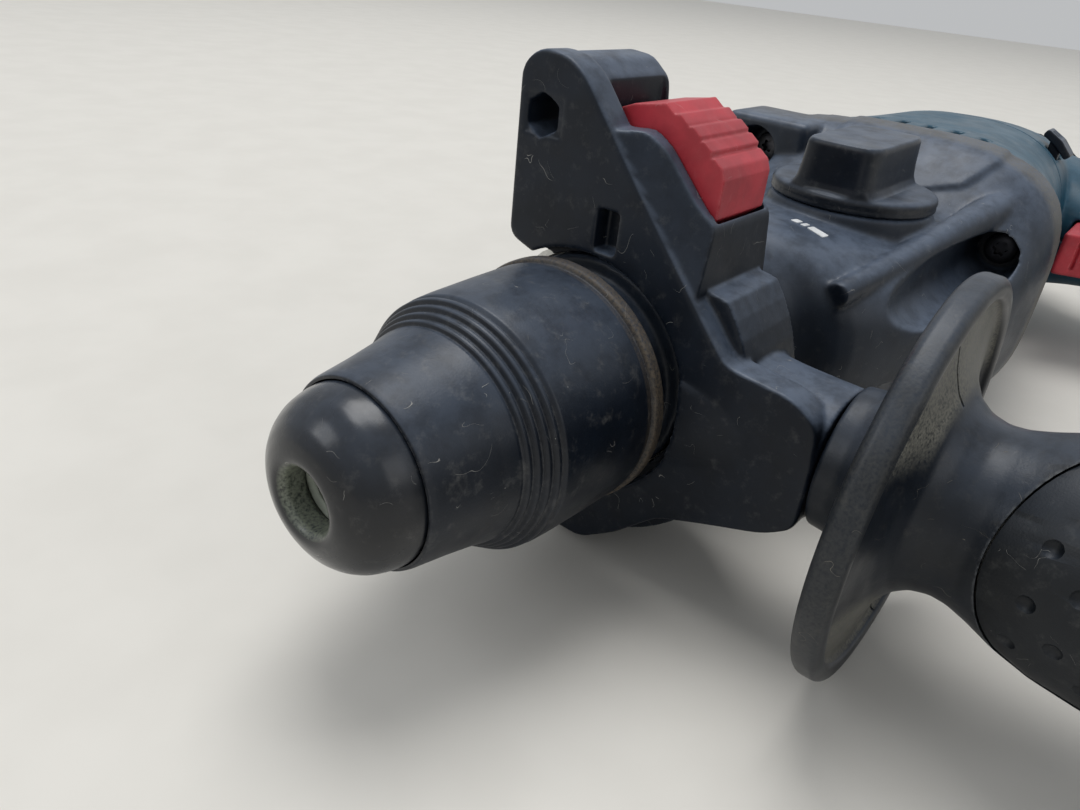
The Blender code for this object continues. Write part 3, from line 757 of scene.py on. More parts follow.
@dataclass(frozen=True)
class Plastic:
    """Moulded plastic or rubber with fine grain, pale worn edges, smudges, lint, and paler bluish patches on up-facing
    faces that are partly dust and partly a painted sheen of the overhead light.
    """

    name: str
    colour: Colour
    worn: Colour
    roughness: float
    grain_mm: float = 0.35
    grain_depth_mm: float = 0.03
    wear: float = 0.5
    dust: float = 0.5
    specular: float = 0.34
    coat: float = 0.0
    dust_colour: Colour = (0.42, 0.41, 0.38)
    soil_colour: Colour = (0.17, 0.155, 0.125)
    # How far up-facing faces are painted paler, and in what colour: partly dust, partly a painted sheen of the overhead
    # light.
    top_dust_and_sheen: float = 0.55
    top_dust_and_sheen_colour: Colour = (0.105, 0.135, 0.190)

    def material(self) -> bpy.types.Material:
        """Build the node material.

        Returns:
            The material.
        """
        sheet = ShaderSheet(self.name)
        cloud = sheet.noise(9.0, 4.0)
        dark = tuple(0.80 * value for value in self.colour)
        pale = tuple(min(1.0, 1.22 * value) for value in self.colour)
        colour = sheet.mix(sheet.window(cloud, 0.3, 0.7), dark, pale)
        # Up-facing faces are painted paler and bluer in patches: partly settled dust, partly a painted sheen where the
        # overhead light falls.
        top_dust_and_sheen_share = sheet.window(sheet.painted("upward_sheen_and_dust"), 0.25, 1.0)
        dust_and_sheen_patches = sheet.window(sheet.noise(6.0, 5.0, 0.65), 0.30, 0.62, 0.45 * self.top_dust_and_sheen, self.top_dust_and_sheen)
        colour = sheet.mix(sheet.sum("MULTIPLY", top_dust_and_sheen_share, dust_and_sheen_patches), colour, self.top_dust_and_sheen_colour)
        smear = sheet.window(sheet.noise(3.2, 5.0, 0.7), 0.52, 0.80)
        colour = sheet.mix(sheet.sum("MULTIPLY", smear, 0.22 * self.dust), colour, self.dust_colour)
        soiled = sheet.sum("MULTIPLY", sheet.painted("soil"), sheet.window(sheet.noise(0.55, 4.0, 0.6), 0.22, 0.66))
        colour = sheet.mix(soiled, colour, self.soil_colour)
        bend = sheet.window(sheet.edges(0.9), 0.03, 0.28)
        chips = sheet.window(sheet.noise(1.1, 4.0, 0.7), 0.38, 0.62)
        scuffed = sheet.sum("MULTIPLY", sheet.sum("MULTIPLY", bend, chips), self.wear)
        colour = sheet.mix(scuffed, colour, self.worn)
        lint = sheet.sum("MULTIPLY", sheet.lint(self.dust), 0.75)
        colour = sheet.mix(lint, colour, self.dust_colour)
        sheet.link(colour, sheet.shader.inputs["Base Color"])
        rough = sheet.window(sheet.noise(14.0, 4.0, 0.6), 0.3, 0.7, self.roughness - 0.07, self.roughness + 0.07)
        rough = sheet.sum("ADD", rough, sheet.sum("MULTIPLY", scuffed, 0.15))
        rough = sheet.sum("ADD", rough, sheet.sum("MULTIPLY", sheet.sum("ADD", lint, soiled), 0.25))
        sheet.link(rough, sheet.shader.inputs["Roughness"])
        grain = sheet.bump(sheet.noise(self.grain_mm, 2.0), self.grain_depth_mm, 0.6)
        dents = sheet.window(sheet.noise(1.6, 3.0, 0.6), 0.62, 0.78)
        grain = sheet.bump(sheet.sum("MULTIPLY", dents, -1.0), 0.05, 0.35 * self.wear, grain)
        sheet.link(sheet.bump(lint, 0.06, 0.6, grain), sheet.shader.inputs["Normal"])
        sheet.shader.inputs["Specular IOR Level"].default_value = self.specular
        sheet.shader.inputs["Coat Weight"].default_value = self.coat
        sheet.shader.inputs["Coat Roughness"].default_value = 0.22
        return sheet.material


@dataclass(frozen=True)
class Metal:
    """Turned or ground metal with fine tool marks and a film of oil and dust."""

    name: str
    colour: Colour
    roughness: float
    grime: Colour = (0.07, 0.065, 0.05)
    dirt: float = 0.35
    marks_mm: float = 0.25
    metallic: float = 1.0

    def material(self) -> bpy.types.Material:
        """Build the node material.

        Returns:
            The material.
        """
        sheet = ShaderSheet(self.name)
        lines = sheet.noise(self.marks_mm, 2.0, 0.6, sheet.stretched((1.0, 0.08, 0.08)))
        cloud = sheet.noise(4.0, 5.0, 0.65)
        colour = sheet.mix(sheet.window(lines, 0.35, 0.65), tuple(0.85 * value for value in self.colour), self.colour)
        film = sheet.sum("MULTIPLY", sheet.window(cloud, 0.45, 0.75), self.dirt)
        colour = sheet.mix(film, colour, self.grime)
        sheet.link(colour, sheet.shader.inputs["Base Color"])
        rough = sheet.window(cloud, 0.3, 0.8, self.roughness, self.roughness + 0.25)
        sheet.link(rough, sheet.shader.inputs["Roughness"])
        sheet.link(sheet.bump(lines, 0.01, 0.5), sheet.shader.inputs["Normal"])
        sheet.shader.inputs["Metallic"].default_value = self.metallic
        return sheet.material


class Finish(Enum):
    """The finishes of the tool."""

    # In the plastics, the up-facing share and its colour set how far up-facing faces are painted paler, partly as dust
    # and partly as a painted sheen of the overhead light.
    CHARCOAL = Plastic("charcoal_plastic", (0.012, 0.018, 0.029), (0.12, 0.14, 0.17), 0.42, 0.30, 0.035, 0.55, 0.30,
                       top_dust_and_sheen=0.88)
    SLEEVE = Plastic("sleeve_plastic", (0.0055, 0.0085, 0.0145), (0.13, 0.13, 0.13), 0.38, 0.40, 0.04, 0.60, 0.60,
                     soil_colour=(0.16, 0.125, 0.085), top_dust_and_sheen=0.42)
    COLLAR = Plastic("collar_plastic", (0.006, 0.0095, 0.0165), (0.13, 0.15, 0.18), 0.40, 0.32, 0.03, 0.65, 0.35,
                     specular=0.26, top_dust_and_sheen=0.95)
    GUARD = Plastic("guard_plastic", (0.0065, 0.0095, 0.015), (0.13, 0.14, 0.15), 0.38, 0.55, 0.04, 0.70, 0.45,
                    dust_colour=(0.24, 0.22, 0.18), soil_colour=(0.17, 0.165, 0.14), top_dust_and_sheen=0.35)
    TEAL = Plastic("teal_plastic", (0.006, 0.050, 0.086), (0.09, 0.17, 0.21), 0.38, 0.40, 0.03, 0.40, 0.25,
                   top_dust_and_sheen=0.30, top_dust_and_sheen_colour=(0.10, 0.19, 0.27))
    KNOB = Plastic("knob_plastic", (0.006, 0.009, 0.015), (0.12, 0.14, 0.16), 0.38, 0.30, 0.025, 0.55, 0.35, top_dust_and_sheen=0.70)
    RUBBER = Plastic("black_rubber", (0.005, 0.007, 0.010), (0.06, 0.065, 0.07), 0.50, 0.35, 0.05, 0.35, 0.35,
                     top_dust_and_sheen=0.18)
    CAP = Plastic("gloss_cap", (0.005, 0.0065, 0.0095), (0.07, 0.08, 0.09), 0.27, 0.80, 0.02, 0.25, 0.35, coat=0.25,
                  soil_colour=(0.20, 0.22, 0.17), top_dust_and_sheen=0.25)
    RED = Plastic("red_plastic", (0.44, 0.036, 0.050), (0.62, 0.26, 0.26), 0.44, 0.30, 0.03, 0.75, 0.40,
                  dust_colour=(0.55, 0.36, 0.36), soil_colour=(0.50, 0.26, 0.24), top_dust_and_sheen=0.12,
                  top_dust_and_sheen_colour=(0.50, 0.24, 0.27))
    PALE = Plastic("pale_plastic", (0.56, 0.52, 0.43), (0.70, 0.68, 0.60), 0.50, 0.40, 0.03, 0.3, 0.2, top_dust_and_sheen=0.0)
    MARK = Plastic("pale_mark", (0.72, 0.74, 0.76), (0.80, 0.80, 0.80), 0.45, 0.30, 0.02, 0.2, 0.2, top_dust_and_sheen=0.0)
    CARBON = Plastic("carbon", (0.03, 0.03, 0.03), (0.12, 0.12, 0.12), 0.55, 0.30, 0.03, 0.3, 0.1, top_dust_and_sheen=0.0)
    GREASED = Metal("greased_steel", (0.40, 0.43, 0.36), 0.55, (0.22, 0.25, 0.19), 0.9, 0.6, 0.3)
    STEEL = Metal("bright_steel", (0.56, 0.56, 0.54), 0.24)
    # Screw steel: partly its own dark finish, partly darkened further as painted shade for the screw heads deep in the
    # housing's scoops.
    DARK_STEEL_AND_SHADE = Metal("dark_steel", (0.09, 0.09, 0.10), 0.36)
    COPPER = Metal("copper", (0.70, 0.31, 0.15), 0.30)
    BRASS = Metal("brass", (0.72, 0.50, 0.22), 0.28)
    ALUMINIUM = Metal("aluminium", (0.62, 0.63, 0.64), 0.38)

    def dress(self, thing: bpy.types.Object) -> None:
        """Put this finish on an object in place of any other."""
        found = bpy.data.materials.get(self.value.name + "_look") or self._made()
        thing.data.materials.clear()
        thing.data.materials.append(found)

    def _made(self) -> bpy.types.Material:
        """Build the material once and name it."""
        made = self.value.material()
        made.name = self.value.name + "_look"
        return made


CAD_FINISH: dict[str, Finish] = {
    "charcoal_plastic": Finish.CHARCOAL,
    "teal_plastic": Finish.TEAL,
    "black_rubber": Finish.RUBBER,
    "gloss_black_plastic": Finish.KNOB,
    "red_plastic": Finish.RED,
    "bright_steel": Finish.STEEL,
    "dark_steel": Finish.DARK_STEEL_AND_SHADE,
    "copper": Finish.COPPER,
    "brass": Finish.BRASS,
    "aluminium": Finish.ALUMINIUM,
    "carbon": Finish.CARBON,
    "pale_plastic": Finish.PALE,
}


def dress_cad_nodes() -> None:
    """Give every carried-over node the finish of its material slot."""
    slots = {entry["node"]: entry["material_slot"] for entry in frame["record"]["subparts"]}
    for name, node in frame["nodes"].items():
        CAD_FINISH[slots[name]].dress(node)


def finished(thing: bpy.types.Object, name: str, finish: Finish, body: str, nodes: Sequence[str] = (),
             smooth: float = 35.0, soil: Optional[Callable[[Vector], float]] = None) -> bpy.types.Object:
    """Scale a piece to metres, set it in place, dress it and hang it on its body.

    Args:
        thing: The shape in millimetres.
        name: The piece's name.
        finish: Its finish.
        body: The body that it moves with.
        nodes: The nodes that it stands for.
        smooth: Largest angle, in degrees, that is shaded smooth.
        soil: How soiled the surface is at a point, from 0 to 1.

    Returns:
        The finished piece.
    """
    if soil:
        layer = thing.data.attributes.new("soil", "FLOAT", "POINT")
        layer.data.foreach_set("value", [soil(vertex.co) for vertex in thing.data.vertices])
    only(thing)
    thing.name = name
    thing.data.name = name
    thing.scale = (MM, MM, MM)
    thing.location = ORIGIN
    bpy.ops.object.transform_apply(location=True, rotation=True, scale=True)
    bpy.ops.object.shade_smooth_by_angle(angle=math.radians(smooth))
    # Share of each point's normal that faces up; the plastics use it to paint up-facing faces paler, partly as dust and
    # partly as a painted sheen of the overhead light.
    upward_sheen_and_dust = thing.data.attributes.new("upward_sheen_and_dust", "FLOAT", "POINT")
    upward_sheen_and_dust.data.foreach_set("value", [max(0.0, vertex.normal.z) for vertex in thing.data.vertices])
    finish.dress(thing)
    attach(thing, body)
    if nodes:
        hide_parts(*nodes)
    LOG.info("%s: %d faces", name, len(thing.data.polygons))
    return thing


# ---------------------------------------------------------------- chuck

@dataclass
class Chuck:
    """Locking sleeve, dust cap and the hammer tube that holds the bit."""

    rim_r: float = 25.5
    drum_r: float = 24.9
    drum_front: float = 28.6
    ribs: int = 4
    rib_pitch: float = 1.42
    rib_rise: float = 0.92
    cone_front: float = 51.6
    cap_tip: float = 62.4
    opening_r: float = 5.4

    def sleeve(self) -> None:
        """Locking sleeve: worn rim, drum, four stepped ribs and a cone."""
        profile: list[Point2] = [(self.cone_front, 16.35), (self.cone_front, 16.9), (self.cone_front - 1.0, 17.25)]
        profile += [(44.0, 18.25), (38.0, 19.35), (34.7, 20.15)]
        for rib in range(self.ribs):
            front = self.drum_front + self.rib_pitch * (self.ribs - rib) - 0.1
            crest = 20.9 + self.rib_rise * rib
            profile += [(front, crest - 0.85), (front - 0.18, crest - 0.1), (front - 0.42, crest + 0.12),
                        (front - 0.95, crest + 0.20), (front - 1.16, crest - 0.05)]
        profile += [(self.drum_front - 0.2, 23.3), (self.drum_front - 0.9, 24.1), (24.0, 24.35), (14.0, 24.7)]
        profile += [(5.2, self.drum_r), (4.0, self.drum_r - 0.1), (3.6, 24.45), (3.2, 24.5), (2.9, 25.3)]
        profile += [(2.4, self.rim_r), (0.7, self.rim_r), (0.2, 25.2), (0.0, 24.7)]
        inner = [(0.0, 21.9), (22.0, 21.8), (22.0, 14.5), (34.5, 14.5), (36.0, 16.35)]
        sleeve = turned(rounded(profile, 0.35, 3, closed=False) + inner, "locking_sleeve_look", steps=144)
        finished(sleeve, "locking_sleeve_look", Finish.SLEEVE, "locking_sleeve",
                 ["locking_sleeve"], smooth=28, soil=lambda spot: 0.6 if spot.x < 3.0 else 0.25 * (spot.x < 5.0))

    def cap(self) -> None:
        """Dust cap: glossy dome with a rolled lip at the bit opening."""
        outside: list[Point2] = [(50.4, 9.4), (50.4, 15.9), (51.9, 16.15), (54.0, 15.85), (56.6, 15.05), (58.8, 13.7),
                                 (60.6, 11.9), (61.8, 9.8), (62.3, 8.2), (self.cap_tip, 7.2)]
        lip = [(62.1, 6.2), (61.2, self.opening_r + 0.1), (59.0, self.opening_r), (57.4, self.opening_r), (57.4, 9.4)]
        cap = turned(rounded(outside + lip, 0.9, 5, closed=False), "dust_cap_look", steps=96)
        finished(cap, "dust_cap_look", Finish.CAP, "spindle", ["dust_cap"], smooth=50,
                 soil=lambda spot: max(0.0, min(1.0, (6.7 - math.hypot(spot.y, spot.z)) / 0.9)))

    def tube(self) -> None:
        """Hammer tube with a chamfered mouth, drive slots and the pockets of the two locking balls."""
        profile = [(57.0, 6.1), (57.0, 8.4), (56.4, 9.0), (50.2, 9.0), (49.6, 12.0), (35.5, 12.0), (34.0, 14.0),
                   (-10.0, 14.0), (-10.0, 15.0), (-78.0, 15.0), (-78.0, 11.0), (6.0, 11.0), (7.5, 5.3), (56.1, 5.3)]
        tube = turned(profile, "hammer_tube_look", steps=64)
        for side in Side:
            pocket = rod(3.8, 5.0 * side.value, 20.0 * side.value, at=(29.0, 0, 0), axis=Axis.Y)
            slot = block((14.0, -1.2, 4.4 * side.value), (57.5, 1.2, 6.2 * side.value))
            cut(tube, pocket, slot)
        finished(tube, "hammer_tube_look", Finish.GREASED, "spindle", ["hammer_tube"])

    def spring(self) -> None:
        """Return spring of the sleeve, built as a fixed coil that does not shorten with the sleeve."""
        bpy.ops.object.select_all(action="DESELECT")
        bpy.ops.mesh.primitive_circle_add(vertices=12, radius=0.9, location=(4.6, 17.3, 0))
        wire = bpy.context.object
        bpy.ops.object.transform_apply(location=True)
        applied(wire, "SCREW", axis="X", angle=math.tau, screw_offset=4.0, iterations=4, steps=36, render_steps=36)
        with editing(wire):
            bpy.ops.mesh.select_mode(type="VERT")
            bpy.ops.mesh.select_non_manifold()
            bpy.ops.mesh.fill_holes(sides=0)
            bpy.ops.mesh.select_all(action="SELECT")
            bpy.ops.mesh.normals_make_consistent(inside=False)
        piece = finished(wire, "sleeve_spring_look", Finish.STEEL, "spindle", ["sleeve_spring"])
        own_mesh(piece)

    def build(self) -> None:
        """Build the chuck."""
        self.sleeve()
        self.cap()
        self.tube()
        self.spring()


# ---------------------------------------------------------------- side handle

PLATE: tuple[Point2, ...] = (
    (-19.7, 24.5), (-19.7, 57.5), (-15.5, 60.8), (-9.0, 60.2), (-4.8, 57.5), (10.2, 39.8), (25.6, 22.6),
    (33.0, 14.6), (46.5, 13.4), (52.0, 10.0), (53.0, 0.0), (53.0, -11.0), (47.5, -15.0), (35.4, -19.5),
    (25.6, -23.5), (16.5, -32.5), (8.0, -38.6), (-2.0, -38.6), (-6.0, -20.0), (-6.0, 20.0),
)
BOX: tuple[Point2, ...] = (
    (-19.2, 24.5), (-19.2, 56.5), (-15.2, 60.2), (-9.0, 59.6), (-4.4, 56.0), (-3.4, 48.9), (7.0, 49.8),
    (11.1, 47.2), (14.7, 43.5), (18.8, 39.1), (22.9, 35.9), (24.9, 20.0), (10.0, 22.0), (-6.0, 24.5),
)
POCKET: tuple[Point2, ...] = ((-5.0, 36.0), (-5.0, 70.0), (22.2, 70.0), (22.2, 35.5), (15.0, 27.6), (2.0, 30.2))


@dataclass
class SideHandle:
    """Clamp collar with its red button, and the grip with its guard disc and dimpled rubber."""

    axis_x: float = -17.0
    end_y: float = 185.0
    rod_hole: Point2 = (-13.9, 49.0)
    rod_hole_r: float = 4.15
    ridges: int = 5
    dimple_r: float = 1.75
    dimple_rows: int = 15
    dimple_pitch: float = 5.6
    dimples_round: int = 13
    front_oval: float = 13.0
    back_oval: float = 9.0
    seam_roll: float = 12.0
    rubber_ends: Point2 = (82.0, 178.0)
    rubber_height: float = 19.2
    rubber_roll: float = -12.0
    swell: tuple[Point2, ...] = ((79.5, 15.9), (83.0, 17.0), (88.0, 19.0), (94.0, 20.6), (102.0, 21.5), (114.0, 21.4),
                                 (130.0, 20.7), (150.0, 20.2), (166.0, 21.2), (175.0, 22.6), (179.5, 23.2))

    def hexagon(self) -> list[Point2]:
        """Outline of the depth rod's hole."""
        y, z = self.rod_hole
        corners = [math.radians(90 + 60 * corner) for corner in range(6)]
        return [(y + self.rod_hole_r * math.cos(a), z + self.rod_hole_r * math.sin(a)) for a in corners]

    def collar(self) -> None:
        """Clamp collar: front plate, button box, saddle round the neck and boss for the grip."""
        front = plate(rounded(PLATE, 2.6, 5), -11.2, -4.0, "front_plate")
        edged(front, 0.7, 60)
        box = plate(rounded(BOX, 1.6, 4), -33.0, -10.6, "button_box")
        edged(box, 0.8, 60)
        arc = [math.radians(40 - 6 * step) for step in range(23)]
        saddle = [(24.0, 25.0)] + [(37.5 * math.cos(a), 37.5 * math.sin(a)) for a in arc] + [(0.0, -30.0)]
        saddle += [(-4.0, -20.0), (-4.0, 22.0), (-15.0, 26.0), (-15.0, 32.0)]
        saddle = plate(saddle, -30.0, -9.0, "saddle")
        waist = lofted(((20.0, self.axis_x, 15.0, 13.5, 3.2), (30.0, self.axis_x, 14.2, 13.2, 3.0),
                        (40.0, self.axis_x, 13.0, 12.6, 2.6), (52.9, self.axis_x, 12.6, 12.4, 2.4)), "boss", Axis.Y)
        collar = join(front, box, saddle, waist, self.facet())
        bore = [(0.0, 0.0), (0.0, 26.2), (-8.8, 26.2), (-8.8, 24.4), (-11.2, 24.4), (-11.2, 26.3), (-28.4, 26.3),
                (-28.4, 24.4), (-40.0, 24.4), (-40.0, 0.0)]
        throat = join(turned(bore, "bore"), block((-24.73, 17.6, -6.23), (-10.07, 42.3, 6.27)),
                      rod(4.4, 38.0, 60.0, at=(self.axis_x, 0, 0), axis=Axis.Y))
        cut(collar, throat)
        cut(collar, plate(rounded(POCKET, 1.2, 3), -31.5, -12.2, "pocket"))
        cut(collar, plate(self.hexagon(), -40.0, 0.0, "hexagon"), block((-8.0, 1.6, 27.2), (0.0, 6.6, 35.3)))
        cut(collar, plate([(-18.2, 45.2), (-18.2, 53.0), (-8.6, 53.0), (-8.6, 45.2)], -4.35, 0.0, "hole_panel"))
        moulded(collar, 0.42, 2, 0.42)
        finished(collar, "side_handle_collar_look", Finish.COLLAR, "side_handle",
                 ["side_handle_collar"], smooth=45)

    def facet(self) -> bpy.types.Object:
        """Sloping face of the button box, from the plate's slanting edge back to the box's outer edge.

        Returns:
            The wedge.
        """
        top, out, along = Vector((0, -4.8, 57.5)), Vector((0, 0.754, 0.657)), Vector((0, 0.657, -0.754))
        corners = ((-1.5, -5.3), (0.2, -5.3), (7.4, -10.8), (7.4, -12.0), (-1.5, -12.0))
        wedge = filled([top + out * reach + Vector((x, 0, 0)) for reach, x in corners], along * 48.0, "facet")
        return combined(wedge, plate(rounded(BOX, 1.6, 4), -12.5, -2.0, "box_outline"), "INTERSECT")

    def button_outline(self) -> list[Point2]:
        """Outline of the button with its stepped finger ridges.

        Returns:
            (y, z) pairs.
        """
        start, end = Vector((6.6, 54.2)), Vector((20.8, 45.0))
        run = (end - start) / self.ridges
        out = Vector((-run.y, run.x)).normalized()
        if out.y < 0:
            out = -out
        steps: list[Point2] = []
        for ridge in range(self.ridges):
            foot = start + run * ridge
            bulge = out * (1.3 * math.sin(math.pi * (ridge + 0.5) / self.ridges))
            for spot in (foot + bulge - out * 0.45, foot + run * 0.16 + bulge + out * 0.25,
                         foot + run * 0.9 + bulge + out * 0.1):
                steps.append((spot.x, spot.y))
        low = [(21.6, 43.6), (21.7, 36.7), (15.0, 31.0), (6.0, 33.5), (-2.6, 40.5), (-2.6, 51.8), (0.8, 53.2)]
        return steps + low

    def button(self) -> None:
        """Red depth-stop button, worn along its front edges."""
        button = plate(self.button_outline(), -31.0, -12.5, "button")
        edged(button, 0.35, 25)
        moulded(button, 0.22, 2, 0.5)
        finished(button, "depth_stop_button_look", Finish.RED, "depth_stop_button",
                 ["depth_stop_button"], smooth=50)

    def rolled(self, thing: bpy.types.Object, degrees: float) -> bpy.types.Object:
        """Turn a shape drawn round the y axis about the grip, towards the front if positive, and set it in place.

        Args:
            thing: The shape.
            degrees: How far it turns.

        Returns:
            The same shape.
        """
        only(thing)
        thing.rotation_euler = (0.0, math.radians(degrees), 0.0)
        thing.location = (self.axis_x, 0.0, 0.0)
        bpy.ops.object.transform_apply(location=True, rotation=True, scale=False)
        return thing

    def panel(self, grow: float) -> bpy.types.Object:
        """Bar through the grip whose outline is the rubber's: oval ends, and edges near the top and the underside.

        Args:
            grow: How much the outline is enlarged.

        Returns:
            The bar.
        """
        front, back = self.rubber_ends
        high = self.rubber_height
        outline = []
        for step in range(25):
            angle = -math.pi / 2 + math.pi * step / 24
            outline.append((back - self.back_oval + grow + self.back_oval * math.cos(angle),
                            (high + grow) * math.sin(angle)))
        for step in range(33):
            angle = math.pi / 2 + math.pi * step / 32
            outline.append((front + self.front_oval - grow + self.front_oval * math.cos(angle),
                            (high + grow) * math.sin(angle)))
        return self.rolled(plate(outline, -60.0, 60.0, "panel"), self.rubber_roll)

    def grip(self) -> None:
        """Grip core: guard disc with a thick scuffed rim, flared neck, strips beside the rubber and closed end."""
        outside: list[Point2] = [(self.end_y, 0.0), (self.end_y, 16.5), (184.0, 18.9), (182.6, 21.4), (181.0, 22.9)]
        outside += [(y, radius + 0.25) for y, radius in reversed(self.swell[:-1])]
        outside += [(76.5, 15.9), (73.4, 16.7), (70.9, 18.5), (68.9, 21.6), (67.6, 25.5), (66.9, 29.5), (66.5, 33.0),
                    (66.7, 34.2), (67.9, 34.7), (68.2, 35.6), (68.2, 37.0), (67.3, 38.2), (64.2, 38.3), (63.1, 37.4),
                    (62.8, 35.6), (62.6, 31.0), (62.0, 22.0), (60.6, 15.6), (57.0, 14.1), (53.4, 13.8), (53.4, 7.7),
                    (62.2, 7.7), (62.2, 4.4), (94.0, 4.4), (94.0, 0.0)]
        grip = turned(rounded(outside, 0.9, 4, closed=False), "side_handle_grip_look", (self.axis_x, 0, 0), Axis.Y, 128)
        space = turned([(175.5, 14.6), (175.5, 40.0), (80.5, 40.0), (80.5, 14.6)], "space", (self.axis_x, 0, 0), Axis.Y)
        cut(grip, combined(space, self.panel(0.3), "INTERSECT"))
        for side in Side:
            cut(grip, self.rolled(sided((-0.3, 65.6, 19.5), (0.3, 72.0, 34.6), side), self.seam_roll))
        finished(grip, "side_handle_grip_look", Finish.GUARD, "side_grip",
                 ["side_handle_grip"], smooth=40, soil=self.guard_soil)

    def guard_soil(self, spot: Vector) -> float:
        """Worn dust on the guard's face towards the hand, above and below the neck, and on its rim.

        Args:
            spot: A point of the grip.

        Returns:
            How soiled it is, from 0 to 1.
        """
        reach = math.hypot(spot.x - self.axis_x, spot.z)
        if spot.y > 80.0:
            return 0.9 if spot.y < 96.0 and reach < self.radius_at(self.swell, spot.y) - 0.6 else 0.0
        if not 66.0 < spot.y < 69.6 or not 20.5 < reach < 34.5:
            return 0.12 if reach > 36.0 else 0.0
        return max(0.0, min(1.0, (abs(spot.z) - 12.0) / 5.0))

    def rubber(self) -> None:
        """Rubber let into the grip on both faces, with rows of shallow dimples."""
        rubber = turned([(180.0, 14.9), (180.0, 22.7), *reversed(self.swell[:-1]), (79.0, 14.9)], "rubber",
                        (self.axis_x, 0, 0), Axis.Y, 112)
        combined(rubber, self.panel(0.0), "INTERSECT")
        edged(rubber, 0.5, 45)
        balls = []
        for row in range(self.dimple_rows):
            y = 89.0 + self.dimple_pitch * row
            radius = self.radius_at(self.swell, y) + 0.95
            for place in range(self.dimples_round):
                angle = math.tau * (place + 0.5 * (row % 2)) / self.dimples_round
                spot = Vector((self.axis_x + radius * math.cos(angle), y, radius * math.sin(angle)))
                tilt = math.radians(self.rubber_roll)
                height = abs(spot.z * math.cos(tilt) + (spot.x - self.axis_x) * math.sin(tilt))
                short = max(0.0, (self.rubber_ends[0] + self.front_oval - y) / self.front_oval)
                edge = self.rubber_height * math.sqrt(max(0.0, 1.0 - short ** 2))
                if height < edge - 3.2:
                    balls.append(pressed_ball(spot, self.dimple_r))
        dimpled(rubber, balls)
        finished(rubber, "side_handle_rubber_look", Finish.RUBBER, "side_grip",
                 ["side_handle_rubber"], smooth=40)

    @staticmethod
    def radius_at(sections: Sequence[Point2], along: float) -> float:
        """Radius of a turned outline at a distance along its axis.

        Args:
            sections: (distance, radius) pairs.
            along: The distance.

        Returns:
            The radius.
        """
        for (low, first), (high, second) in zip(sections, sections[1:]):
            if low <= along <= high:
                return first + (second - first) * (along - low) / (high - low)
        return sections[-1][1]

    def build(self) -> None:
        """Build the side handle."""
        self.collar()
        self.button()
        self.grip()
        self.rubber()


# ---------------------------------------------------------------- gear housing

UPPER_SCREW: Point2 = (-26.0, 28.0)
LOWER_SCREW: Point2 = (49.0, 15.0)


def screw_places() -> list[Point2]:
    """The (y, z) places of the four housing screws."""
    return [(y, z * side.value) for y, z in (UPPER_SCREW, LOWER_SCREW) for side in Side]


